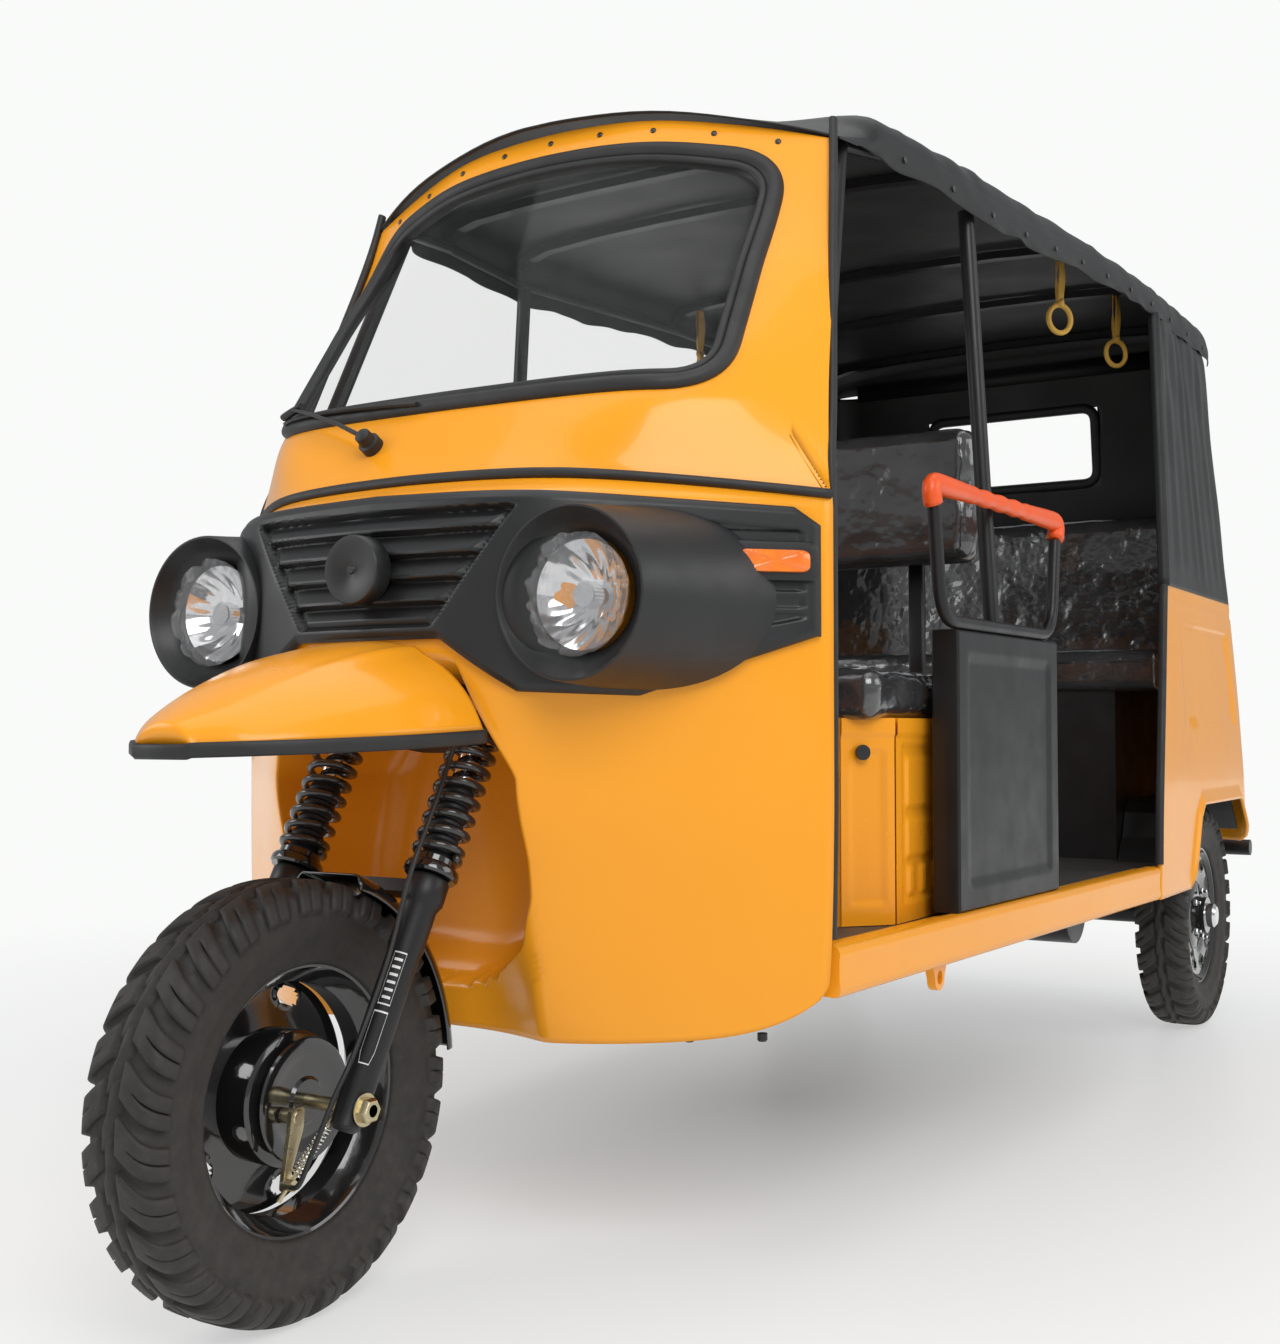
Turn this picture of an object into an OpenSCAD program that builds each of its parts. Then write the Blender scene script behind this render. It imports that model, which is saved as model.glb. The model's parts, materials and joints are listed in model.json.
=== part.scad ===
// Electric passenger rickshaw on three wheels, in millimetres.
// X points to the vehicle's left, the front faces -Y, and Z is up from the ground.
// Stations along Y are measured from the front axle, and ahead() moves them to the origin.

/* [Wheels] */
// Outer radius of every tyre
tyre_r = 273; // [268:1:278]
// Section width of every tyre
tyre_w = 112; // [106:1:118]
// Radius of the rim's flange
rim_r = 175; // [170:1:178]
// Front axle to rear axle
wheelbase = 2667; // [2600:1:2720]
// Middle of the vehicle to the middle of a rear tyre
half_track = 504; // [496:1:510]
// Half width of a wheel's pressed dish where it bolts to the hub
hub_half_w = 46; // [42:1:50]

/* [Steering] */
// Angle that the fork leans back from upright
rake = 29; // [27:1:31]
// Distance of the steering axis behind the fork legs
fork_offset = 42; // [36:1:46]
// Middle of the vehicle to the middle of a fork leg
fork_half_w = 118; // [114:1:124]
// Height of the spring seats along the legs from the axle
seat_up = 330; // [320:1:340]
// Length of the fork springs
spring_len = 190; // [180:1:200]

/* [Body] */
// Half width of the front shell at the door edge
front_half_w = 540; // [530:1:548]
// Half width of the rear body
rear_half_w = 600; // [592:1:606]
// Station of the front edge of the door opening
door_y = 486; // [480:1:496]
// Station of the rear edge of the door opening at the sill
rear_door_y = 2030; // [2000:1:2060]
// Station of the rear wall at its foot
rear_wall_y = 3050; // [3030:1:3070]
// Thickness of the pressed shells with their lining
shell_t = 16; // [14:1:20]
// Height of the sill's lower edge
sill_bottom = 370; // [362:1:376]
// Height of the sill's upper edge
sill_top = 440; // [434:1:448]
// Height of the front shell's lower edge
cowl_bottom = 315; // [308:1:322]
// Height of the joint between lower and upper front shell, at the middle
belt_z = 1080; // [1070:1:1090]
// Height of the rear panels' upper edge
rear_belt_z = 1060; // [1050:1:1070]
// Height of the roof's side edge at the rear
roof_edge_z = 1717; // [1705:1:1730]

/* [Openings] */
// Half width of the pocket in the front shell that the fork turns in
pocket_half_w = 212; // [206:1:218]
// Width of the shell beside the windscreen's foot
pillar_w = 128; // [122:1:136]
// Width of the windscreen's rubber gasket
gasket_w = 28; // [24:1:32]
// Width of the rear window
window_w = 470; // [450:1:490]
// Height of the rear window
window_h = 205; // [195:1:215]
// Bore of the lugs under the sills
lug_bore_r = 11; // [9:0.5:12]

/* [Fittings] */
// Radius of a headlamp's lens
lamp_r = 72; // [68:1:76]
// Radius of the round posts and rails
post_r = 14; // [12:1:15]
// Radius of the rear bumper's tube
bumper_r = 21; // [18:1:23]
// Width of a divider panel
panel_w = 470; // [450:1:490]

/* [Hidden] */
$fn = 48;
fit = 0.3;
seat_gap = 0.3;
bumper_y = rear_wall_y + 12;
rear_reach = bumper_y + bumper_r;
origin_y = (rear_reach - tyre_r) / 2;
axle_z = tyre_r;
rear_axle_y = wheelbase;

// Front shell sections: height, station at the middle, half width, station of the edge,
// share of the half width that is flat, and how far the edge droops below the middle
screen_foot = belt_z + 118;
header_z = 1690;
front_rows = [
    [cowl_bottom, 262, front_half_w - 18, door_y - 8, 0.45, 0],
    [cowl_bottom + 30, 247, front_half_w - 8, door_y, 0.42, 0],
    [520, 195, front_half_w - 2, door_y, 0.32, 0],
    [670, 150, front_half_w, door_y, 0.30, 0],
    [790, 155, front_half_w, door_y, 0.38, 0],
    [950, 168, front_half_w, door_y, 0.45, 0],
    [1040, 182, front_half_w, door_y, 0.48, 10],
    [belt_z, 245, front_half_w - 2, door_y + 2, 0.50, 28],
    [screen_foot, 325, front_half_w - 21, door_y + 47, 0.66, 0],
    [1400, 447, front_half_w - 54, door_y + 122, 0.62, 20],
    [1600, 567, front_half_w - 84, door_y + 192, 0.45, 52],
    [header_z, 600, front_half_w - 94, door_y + 214, 0.40, 62]];
belt_row = 7;
// Rise of the front shell's foot at its corners, up to the sill
corner_lift = sill_bottom - cowl_bottom;
pocket_top = 806;
pocket_foot_y = 345;
pocket_lean = 0.14;

// The plan curve of a section: flat in the middle, then a straight cheek, with a soft bend between
function ramp(t, flat) = sqrt((t - flat) * (t - flat) + 0.0225) + t - flat;
function bend(t, flat) = (ramp(t, flat) - ramp(0, flat)) / (ramp(1, flat) - ramp(0, flat));
function mix(a, b, s) = a + (b - a) * s;
function face_y(x, row) = row[1] + (row[3] - row[1]) * bend(abs(x) / row[2], row[4]);
function face_z(x, row) = row[0] - row[5] * pow(x / row[2], 2)
    + corner_lift * max(0, (520 - row[0]) / (520 - cowl_bottom)) * pow(abs(x) / row[2], 14);
function row_at(z, i = 0) = z >= front_rows[i + 1][0] && i < len(front_rows) - 2 ? row_at(z, i + 1)
    : mix(front_rows[i], front_rows[i + 1],
        (z - front_rows[i][0]) / (front_rows[i + 1][0] - front_rows[i][0]));
function pocket_w(z) = pocket_half_w - max(0, z - 670) * 0.45;
function pocket_y(x, z, y) = let(t = abs(x) / pocket_w(z), back = pocket_foot_y + (z - cowl_bottom) * pocket_lean)
    t >= 1 ? y : max(y, back - (back - y) * pow(t, 6));

// Columns across the front: the same count on every row, with one on the pocket's lip
pocket_cols = [0, 0.35, 0.6, 0.78, 0.9, 1];
cheek_cols = [0.14, 0.3, 0.46, 0.62, 0.78, 0.9, 1];
function half_cols(row) = let(w = pocket_w(min(row[0], pocket_top + 14))) concat([for (c = pocket_cols) c * w],
    [for (c = cheek_cols) mix(w, row[2], c)]);
function all_cols(row) = let(h = half_cols(row)) concat([for (i = [len(h) - 1:-1:1]) -h[i]], h);

// Moves a station from the front axle to the part's own origin
module ahead() {
    translate([0, -origin_y, 0]) children();
}
module both_sides() {
    children();
    mirror([1, 0, 0]) children();
}
// A round bar from one point to another
module bar(a, b, r) {
    d = b - a;
    n = norm(d);
    translate(a) rotate([0, acos(d[2] / n), atan2(d[1], d[0])]) cylinder(r = r, h = n);
}
// The points of a route with each corner rounded off, starting this far from the corner
function rounded(p, r, steps = 4) = concat([p[0]],
    [for (i = [1:1:len(p) - 2]) let(a = p[i] + r * unit(p[i - 1] - p[i]), b = p[i] + r * unit(p[i + 1] - p[i]))
        each [for (s = [0:steps]) let(t = s / steps) mix(mix(a, p[i], t), mix(p[i], b, t), t)]],
    [p[len(p) - 1]]);
function unit(v) = v / norm(v);
// A tube swept along a route, each ring square to its neighbours
module tube(route, r, sides = 16, up = [1, 0, 0]) {
    last = len(route) - 1;
    points = [for (i = [0:last]) let(t = unit(route[min(i + 1, last)] - route[max(i - 1, 0)]),
        u = unit(cross(t, up)), v = cross(t, u))
            for (k = [0:sides - 1]) route[i] + r * (cos(360 * k / sides) * u + sin(360 * k / sides) * v)];
    faces = concat([[for (k = [0:sides - 1]) k]],
        [for (i = [0:last - 1], k = [0:sides - 1]) let(m = (k + 1) % sides, p = i * sides) each [
            [p + k, p + sides + k, p + sides + m], [p + k, p + sides + m, p + m]]],
        [[for (k = [sides - 1:-1:0]) last * sides + k]]);
    polyhedron(points = points, faces = faces, convexity = 6);
}
// A box given by its lowest and highest corners
module block(a, b) {
    translate(a) cube(b - a);
}
// A prism along Y from an outline drawn in X and Z
module prism_y(y0, y1) {
    translate([0, y1, 0]) rotate([90, 0, 0]) linear_extrude(y1 - y0) children();
}
// A prism along X from an outline drawn in Y and Z
module prism_x(x0, x1) {
    translate([x0, 0, 0]) rotate([90, 0, 90]) linear_extrude(x1 - x0) children();
}
// A closed skin between two grids of points with the same rows and columns
module skin(outer, inner) {
    rows = len(outer);
    cols = len(outer[0]);
    n = rows * cols;
    points = concat([for (row = outer) each row], [for (row = inner) each row]);
    faces = concat(
        [for (r = [0:rows - 2], c = [0:cols - 2]) let(i = r * cols + c) each [
            [i, i + cols, i + cols + 1], [i, i + cols + 1, i + 1],
            [n + i, n + i + 1, n + i + cols + 1], [n + i, n + i + cols + 1, n + i + cols]]],
        [for (c = [0:cols - 2]) let(j = (rows - 1) * cols + c) each [
            [c, c + 1, c + 1 + n], [c, c + 1 + n, c + n],
            [j, j + n, j + 1 + n], [j, j + 1 + n, j + 1]]],
        [for (r = [0:rows - 2]) let(i = r * cols, k = i + cols - 1) each [
            [i + n, i + cols + n, i + cols], [i + n, i + cols, i],
            [k, k + cols, k + cols + n], [k, k + cols + n, k + n]]]);
    polyhedron(points = points, faces = faces, convexity = 8);
}
// Part of the front shell between two heights, standing proud of it and this thick
module front_skin(rows, proud, t, pocket = false) {
    grid = [for (row = rows) [for (x = all_cols(row))
        let(y = face_y(x, row)) [x, pocket && row[0] < pocket_top ? pocket_y(x, row[0], y) : y, face_z(x, row)]]];
    skin([for (g = grid) [for (p = g) p - [0, proud, 0]]],
        [for (g = grid) [for (p = g) p + [0, t - proud, 0]]]);
}

// The lower front shell, with the pocket for the fork
cowl_rows = concat([for (i = [0:4]) front_rows[i]], [row_at(pocket_top - 1), row_at(pocket_top + 14)],
    [for (i = [5:belt_row]) front_rows[i]]);
module cowl() {
    color("orange") ahead() difference() {
        front_skin(cowl_rows, 0, shell_t, true);
        // Room for the steering stem behind the pocket's roof
        translate([0, stem_y(pocket_top + 30), pocket_top + 30]) rotate([-rake, 0, 0])
            cylinder(r = 40, h = 240, center = true);
        // Seats of the headlamp pods
        both_sides() translate([lamp_x, 0, lamp_z]) rotate([-90, 0, 0]) cylinder(r = pod_rear_r + fit, h = 600);
    }
}

// The windscreen's outline seen from the front, pulled in by an inset
screen_half_w = front_half_w - pillar_w;
screen_top_w = screen_half_w - 26;
screen_top = 1600;
screen_rise = 45;
screen_corner_r = 60;
module screen_outline(inset) {
    offset(r = screen_corner_r - inset) offset(delta = -screen_corner_r) polygon(concat(
        [[-screen_half_w, screen_foot], [screen_half_w, screen_foot]],
        [for (i = [0:8]) let(s = 1 - i / 4)
            [screen_top_w * s, screen_top + screen_rise * (1 - s * s)]]));
}
upper_rows = [for (i = [belt_row:len(front_rows) - 1]) front_rows[i]];
frame_rows = concat([front_rows[belt_row] + [fit, 0, 0, 0, 0, 0]],
    [for (i = [belt_row + 1:len(front_rows) - 1]) front_rows[i]]);
module windscreen_frame() {
    color("orange") ahead() difference() {
        front_skin(frame_rows, 0, shell_t);
        prism_y(100, 900) screen_outline(-fit);
    }
}
module windscreen_gasket() {
    color("dimgray") ahead() intersection() {
        front_skin(upper_rows, 7, shell_t + 4);
        prism_y(100, 900) difference() {
            screen_outline(0);
            screen_outline(gasket_w);
        }
    }
}
module windscreen_glass() {
    color("lightblue") ahead() intersection() {
        front_skin(upper_rows, -3, 5);
        prism_y(100, 900) screen_outline(gasket_w + fit);
    }
}
// The black strip along the joint of the two front shells
strip_h = 9;
strip_out = 10;
module belt_strip() {
    color("black") ahead() front_skin([row_at(belt_z - strip_h), front_rows[belt_row]], strip_out + 1.6, strip_out);
}

// Black front panel: half outline in X and Z, from the middle outwards
grille_top_w = 246;
grille_low_w = 122;
grille_low_z = 852;
fascia_top = 1040;
lamp_x = front_half_w - 218;
fascia_half = [[0, grille_low_z], [grille_low_w, grille_low_z], [lamp_x - 100, 783], [lamp_x + 23, 778],
    [front_half_w - 18, 858], [front_half_w - 14, 1008], [front_half_w - 40, fascia_top - 8],
    [grille_top_w, fascia_top + 2], [0, fascia_top + 6]];
lamp_z = 905;
lamp_face_y = 186;
pod_r = lamp_r + 24;
pod_rear_r = pod_r + 18;
pod_face_y = 162;
pod_cone = 62;
pod_len = 110;
louvres = 5;
louvre_h = 15;
grille_margin = 12;
recess = 8;
emblem_z = 947;
emblem_r = 58;
fascia_t = 16;
grille_outline = [[-grille_low_w + grille_margin, grille_low_z + grille_margin],
    [grille_low_w - grille_margin, grille_low_z + grille_margin],
    [grille_top_w - 2 * grille_margin, fascia_top - grille_margin],
    [-grille_top_w + 2 * grille_margin, fascia_top - grille_margin]];
cheek_x = front_half_w - 102;
cheek_w = 72;
cheek_outline = [[cheek_x, 862], [cheek_x + cheek_w, 884], [cheek_x + cheek_w, 1000], [cheek_x, 1006]];
indicator_z = 944;
fascia_rows = concat([front_rows[3], front_rows[4], row_at(pocket_top - 1), row_at(pocket_top + 14)],
    [for (i = [5:belt_row]) front_rows[i]]);
function shell_y(x, z) = face_y(x, row_at(z));
module fascia_outline() {
    polygon(concat(fascia_half, [for (i = [len(fascia_half) - 2:-1:1]) [-fascia_half[i][0], fascia_half[i][1]]]));
}
module front_fascia() {
    color("dimgray") ahead() {
        difference() {
            union() {
                intersection() {
                    front_skin(fascia_rows, fascia_t + fit, fascia_t);
                    prism_y(50, 600) fascia_outline();
                }
                both_sides() translate([lamp_x, pod_face_y, lamp_z]) rotate([-90, 0, 0]) {
                    cylinder(r1 = pod_r, r2 = pod_rear_r, h = pod_cone);
                    translate([0, 0, pod_cone]) cylinder(r = pod_rear_r, h = pod_len);
                }
                translate([0, shell_y(0, emblem_z) - fascia_t - 12, emblem_z]) rotate([-90, 0, 0])
                    cylinder(r = emblem_r, h = 20);
            }
            both_sides() translate([lamp_x, pod_face_y - 5, lamp_z]) rotate([-90, 0, 0])
                cylinder(r = lamp_r + fit, h = 240);
            // The grille between its louvres, and the recess of each cheek
            intersection() {
                front_skin(fascia_rows, fascia_t + 6, 6 + recess);
                prism_y(50, 600) {
                    difference() {
                        polygon(grille_outline);
                        for (i = [1:louvres - 1]) translate([-300, mix(grille_low_z, fascia_top, i / louvres)])
                            square([600, louvre_h]);
                        translate([0, emblem_z]) circle(r = emblem_r + 4);
                    }
                    both_sides() polygon(cheek_outline);
                }
            }
        }
    }
}
module headlamps() {
    color("whitesmoke") ahead() both_sides() translate([lamp_x, lamp_face_y + 8, lamp_z]) rotate([-90, 0, 0])
        cylinder(r = lamp_r, h = 56);
}
module indicators() {
    color("darkorange") ahead() both_sides() intersection() {
        front_skin(fascia_rows, fascia_t + 8, 8 + recess - 2 * fit);
        prism_y(50, 600) translate([cheek_x + 4, indicator_z]) square([cheek_w - 8, 30]);
    }
}

// Beak over the front wheel: station, half width, ridge height, edge height
beak_rows = [
    [-195, 46, 742, 716], [-150, 100, 764, 718], [-70, 152, 800, 721],
    [30, 188, 832, 725], [110, 203, 848, 729], [146, 207, 852, 731]];
beak_t = 6;
function beak_section(row) = [for (i = [-5:5]) let(s = i / 5)
    [row[1] * s, row[0], mix(row[2], row[3], pow(abs(s), 2.6))]];
module beak() {
    grid = [for (row = beak_rows) beak_section(row)];
    color("orange") ahead() skin(grid, [for (g = grid) [for (p = g) p - [0, 0, beak_t]]]);
}
module beak_trim() {
    grid = [for (row = beak_rows) each [[row[1], row[0], row[3] - beak_t - seat_gap]]];
    color("black") ahead() difference() {
        translate([0, 0, 700]) linear_extrude(10) polygon(concat([for (p = grid) [p[0], p[1]]],
            [for (i = [len(grid) - 1:-1:0]) [-grid[i][0], grid[i][1]]]));
        translate([0, 0, 699]) linear_extrude(12) offset(delta = -12) polygon(concat(
            [for (p = grid) [p[0], p[1] + (p[1] > 100 ? 60 : 0)]],
            [for (i = [len(grid) - 1:-1:0]) [-grid[i][0], grid[i][1] + (grid[i][1] > 100 ? 60 : 0)]]));
    }
}
wiper_pivot = [-262, 1172];
wiper_tip = [40, 1168];
module wiper() {
    color("black") ahead() {
        intersection() {
            front_skin(upper_rows, 20 + fit, 20);
            prism_y(100, 600) translate(wiper_pivot) circle(r = 13);
        }
        tube([for (s = [0:0.25:1]) let(p = mix(wiper_pivot, wiper_tip, s))
            [p[0], shell_y(p[0], p[1]) - 16, p[1]]], 7, 8, [0, 0, 1]);
    }
}

// Frame under the floor: two rails and cross members, and the steering head
rail_x = 300;
rail_h = 60;
rail_w = 40;
floor_t = 12;
floor_z = sill_top - 12;
rail_top = floor_z - floor_t - fit;
frame_front = door_y + 30;
leaf_x = 380;
leaf_front = 2260;
leaf_rear = 2880;
leaf_top = axle_z + 28 + fit + 5 * 8;
cross_stations = [frame_front + 20, 1100, 1700, leaf_front, leaf_rear];
head_z = 820;
head_len = 130;
stem_r = 17;
// Station of the steering axis at a height
function stem_y(z) = fork_offset / cos(rake) + (z - axle_z) * tan(rake);
// Frame of the steering: its origin on the front axle, its Z along the fork
module raked() {
    translate([0, 0, axle_z]) rotate([-rake, 0, 0]) children();
}
module chassis_frame() {
    color("black") ahead() difference() {
        union() {
            both_sides() {
                block([rail_x - rail_w / 2, frame_front, rail_top - rail_h], [rail_x + rail_w / 2, 2900, rail_top]);
                block([rail_x - rail_w / 2, frame_front, rail_top], [rail_x + rail_w / 2, frame_front + 40, 900]);
            }
            for (y = cross_stations) let(w = y < arch[0][0] - 20 ? side_x(door_y) - 65 : housing_x - fit)
                block([-w, y - 20, rail_top - 40], [w, y + 20, rail_top]);
            // Hangers of the rear springs
            both_sides() for (y = [leaf_front, leaf_rear]) block([leaf_x - 30, y - 18, leaf_top + fit],
                [leaf_x + 30, y + 18, rail_top - 39]);
            block([-rail_x, frame_front, 860], [rail_x, frame_front + 40, 900]);
            translate([0, stem_y(head_z), head_z]) rotate([-rake, 0, 0])
                cylinder(r = 32, h = head_len, center = true);
            block([-18, stem_y(880) + 10, 862], [18, frame_front + 10, 898]);
        }
        translate([0, stem_y(head_z), head_z]) rotate([-rake, 0, 0])
            cylinder(r = stem_r + 1, h = 2 * head_len, center = true);
    }
}

// Half width of the body at the sill, from the front shell to the rear panels
function side_x(y) = mix(front_half_w, rear_half_w, (y - door_y) / (rear_door_y - door_y));
side_angle = atan((rear_half_w - front_half_w) / (rear_door_y - door_y));
sill_w = 58;
sill_front = door_y + shell_t + fit;
floor_rear = rear_wall_y - shell_t - 20;
tyre_clear = 20;
housing_x = half_track - tyre_w / 2 - tyre_clear;
// Wheel arch seen from the side: station and height
arch = [[2290, 300], [2374, 470], [2400, 528], [2436, 558], [2872, 558], [2935, 500], [3000, 440], [3200, 440],
    [3200, 300]];
module sill_plan(x0, x1) {
    polygon([[side_x(sill_front) - x0, sill_front], [side_x(rear_door_y) - x0, rear_door_y - fit],
        [side_x(rear_door_y) - x1, rear_door_y - fit], [side_x(sill_front) - x1, sill_front]]);
}
module floor_pan() {
    y0 = sill_front;
    y1 = 2280;
    color("dimgray") ahead() translate([0, 0, floor_z - floor_t]) linear_extrude(floor_t) {
        w = sill_w + fit;
        difference() {
            polygon([[-side_x(y0) + w, y0], [side_x(y0) - w, y0], [side_x(rear_door_y) - w, rear_door_y],
                [side_x(rear_door_y) - w, y1], [housing_x - fit, y1], [housing_x - fit, floor_rear],
                [-housing_x + fit, floor_rear], [-housing_x + fit, y1], [-side_x(rear_door_y) + w, y1],
                [-side_x(rear_door_y) + w, rear_door_y]]);
            for (x = [-rail_x, rail_x]) translate([x - rail_w / 2 - fit, y0 - 1])
                square([rail_w + 2 * fit, frame_front + 41 + fit - y0]);
        }
    }
}
lug_y = 900;
lug_drop = 44;
module sills() {
    color("orange") ahead() both_sides() difference() {
        union() {
            intersection() {
                translate([0, 0, cowl_bottom]) linear_extrude(sill_top - cowl_bottom) sill_plan(0, sill_w);
                prism_x(300, 700) polygon([[sill_front, sill_bottom], [rear_door_y, sill_bottom],
                    [rear_door_y, sill_top], [sill_front, sill_top]]);
            }
            prism_x(side_x(lug_y) - 40, side_x(lug_y) - 26) hull() {
                translate([lug_y, sill_bottom - lug_drop + 20]) circle(r = 20, $fn = 32);
                translate([lug_y - 30, sill_bottom]) square([60, 4]);
            }
        }
        translate([side_x(lug_y) - 60, lug_y, sill_bottom - lug_drop + 20]) rotate([0, 90, 0])
            cylinder(r = lug_bore_r, h = 60);
    }
}

// Posts that carry the roof: at the door's front edge, in its middle and behind it
roof_front_x = front_half_w - 110;
post_mid_y = 1190;
post_top_y = door_y + 268;
mid_x = side_x(post_mid_y);
panel_t = 48;
panel_top = 895;
panel_x = mid_x - 14;
rear_post_y = rear_door_y + 190;
module door_posts() {
    color("black") ahead() both_sides() {
        tube([[front_half_w - 42, sill_front + post_r + 2, sill_top + 1],
            [front_half_w - 42, sill_front + post_r + 8, belt_z],
            [roof_front_x, post_top_y, roof_low(post_top_y) - 4]], post_r);
        bar([panel_x - 34, post_mid_y, panel_top + 1.5], [roof_x(post_mid_y) - 24, post_mid_y,
            roof_low(post_mid_y) + 2], post_r);
    }
}
module divider_panels() {
    color("dimgray") ahead() both_sides() translate([panel_x, post_mid_y, sill_top + fit])
        rotate([0, 0, -side_angle]) difference() {
            block([-panel_t, -panel_w / 2, 0], [0, panel_w / 2, panel_top - sill_top - fit]);
            block([-4, -panel_w / 2 + 40, 30], [1, panel_w / 2 - 40, panel_top - sill_top - 60]);
        }
}
hoop_r = 11;
hoop_top = 1085;
hoop_half_w = 300;
module grab_hoops() {
    z0 = panel_top + hoop_r + fit;
    color("dimgray") ahead() both_sides() translate([panel_x - 8.5, post_mid_y - 30, 0])
        rotate([0, 0, -side_angle]) tube(rounded([[0, -hoop_half_w + 20, hoop_top], [0, -hoop_half_w + 45, z0],
            [0, hoop_half_w - 45, z0], [0, hoop_half_w - 20, hoop_top]], 60), hoop_r);
}
module grab_grips() {
    color("orangered") ahead() both_sides() translate([panel_x - 8.5, post_mid_y - 30, 0])
        rotate([0, 0, -side_angle]) prism_x(-19, 19) polygon([[-hoop_half_w, hoop_top + 2],
            [-hoop_half_w - 4, hoop_top + 30], [-hoop_half_w + 20, hoop_top + 52], [hoop_half_w - 20, hoop_top + 52],
            [hoop_half_w + 4, hoop_top + 30], [hoop_half_w, hoop_top + 2], [hoop_half_w - 36, hoop_top + 2],
            [hoop_half_w - 50, hoop_top + 24], [-hoop_half_w + 50, hoop_top + 24],
            [-hoop_half_w + 36, hoop_top + 2]]);
}

// Driver's seat: a pressed box over the batteries, a cushion and a backrest
box_clear = 35;
box_half_w = panel_x - panel_t - box_clear;
box_front = 790;
box_rear = 1230;
box_top = 752;
box_wall = 6;
press_t = 3;
cushion_t = 72;
module seat_box() {
    z0 = floor_z + fit;
    color("orange") ahead() difference() {
        translate([0, 0, z0]) linear_extrude(box_top - z0) polygon([[-box_half_w, box_front + 70],
            [-box_half_w + 60, box_front], [box_half_w - 60, box_front], [box_half_w, box_front + 70],
            [box_half_w, box_rear], [-box_half_w, box_rear]]);
        block([-box_half_w + 60, box_front + box_wall, z0 - 1], [box_half_w - 60, box_rear - box_wall,
            box_top - box_wall]);
        // Pressed fields on the front and the sides
        for (x = [-275, 15]) block([x, box_front - 1, z0 + 60], [x + 260, box_front + press_t, box_top - 60]);
        both_sides() for (y = [box_front + 95, box_front + 250]) block([box_half_w - press_t, y, z0 + 50],
            [box_half_w + 1, y + 130, box_top - 60]);
    }
}
module battery_pack() {
    color("slategray") ahead() block([-box_half_w + 110, box_front + 60, floor_z + fit],
        [box_half_w - 110, box_rear - 60, box_top - 62]);
}
// A cushion as a closed solid with rounded long edges
module cushion(a, b, r) {
    hull() for (x = [a[0] + r, b[0] - r], z = [a[2] + r, b[2] - r])
        translate([x, a[1], z]) rotate([-90, 0, 0]) cylinder(r = r, h = b[1] - a[1], $fn = 32);
}
back_y = 1290;
back_t = 60;
back_top = 1285;
module driver_cushion() {
    color("black") ahead() cushion([-box_half_w, box_front - 10, box_top + seat_gap],
        [box_half_w, box_rear - 10, box_top + cushion_t], 24);
}
module driver_backrest() {
    color("black") ahead() {
        cushion([-box_half_w + 30, back_y, back_top - 240], [box_half_w - 30, back_y + back_t, back_top], 26);
        both_sides() block([300, back_y + back_t, floor_z + fit], [330, back_y + back_t + 16, back_top - 85]);
    }
}

// Passengers' bench over the rear axle
bench_half_w = rear_half_w - 60;
bench_top = 830;
bench_front = 2330;
bench_back_y = 2740;
module bench_base() {
    color("black") ahead() difference() {
        block([-housing_x + 2, bench_front, floor_z + fit], [housing_x - 2, bench_back_y + 90, bench_top]);
        block([-housing_x + 22, bench_front + 16, floor_z - 1], [housing_x - 22, bench_back_y + 74, bench_top - 16]);
    }
}
module bench_cushion() {
    color("black") ahead() cushion([-bench_half_w, bench_front - 20, bench_top + seat_gap],
        [bench_half_w, bench_back_y - fit, bench_top + 90], 26);
}
module bench_backrest() {
    color("black") ahead() cushion([-bench_half_w + 10, bench_back_y, bench_top + seat_gap],
        [bench_half_w - 10, bench_back_y + 80, bench_top + 460], 28);
}

// Rear body sections: height, half width, station of the door edge, station of the wall, corner radius
rear_rows = [
    [sill_bottom, rear_half_w, rear_door_y, rear_wall_y, 110],
    [sill_top + 110, rear_half_w, rear_door_y + 12, rear_wall_y - 8, 110],
    [760, rear_half_w - 5, rear_door_y + 60, rear_wall_y - 40, 105],
    [rear_belt_z, rear_half_w - 18, rear_door_y + 150, rear_wall_y - 98, 100]];
canvas_rows = [
    [rear_belt_z + fit, rear_half_w - 18, rear_door_y + 150, rear_wall_y - 98, 100],
    [1400, rear_half_w - 40, rear_door_y + 205, rear_wall_y - 148, 95],
    [roof_edge_z - 3, rear_half_w - 58, rear_door_y + 245, rear_wall_y - 190, 90]];
// Half of a section's plan path, from the door edge round to the middle of the rear wall
function rear_path(row, t) = let(w = row[1] - t, y1 = row[3] - row[4], r = row[4] - t) concat(
    [for (s = [0:0.25:0.75]) [w, mix(row[2], y1, s), row[0]]],
    [for (a = [0:15:90]) [w - r + r * cos(a), y1 + r * sin(a), row[0]]],
    [for (s = [0.5, 0]) [(w - r) * s, y1 + r, row[0]]]);
function around(half) = concat(half, [for (i = [len(half) - 2:-1:0]) [-half[i][0], half[i][1], half[i][2]]]);
module rear_skin(rows, t) {
    skin([for (row = rows) around(rear_path(row, 0))], [for (row = rows) around(rear_path(row, t))]);
}
module rear_body() {
    color("orange") ahead() difference() {
        rear_skin(rear_rows, shell_t);
        prism_x(-700, 700) polygon(arch);
        // Pressed fields on the sides and on the rear wall
        intersection() {
            skin([for (row = rear_rows) around(rear_path(row, -5))], [for (row = rear_rows) around(rear_path(row, 4))]);
            union() {
                for (x = [-700, 400]) prism_x(x, x + 300) polygon([[2300, 745], [2860, 745], [2810, 985], [2300, 985]]);
                prism_y(2700, 3200) translate([-380, 640]) square([760, 260]);
            }
        }
    }
}
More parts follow.
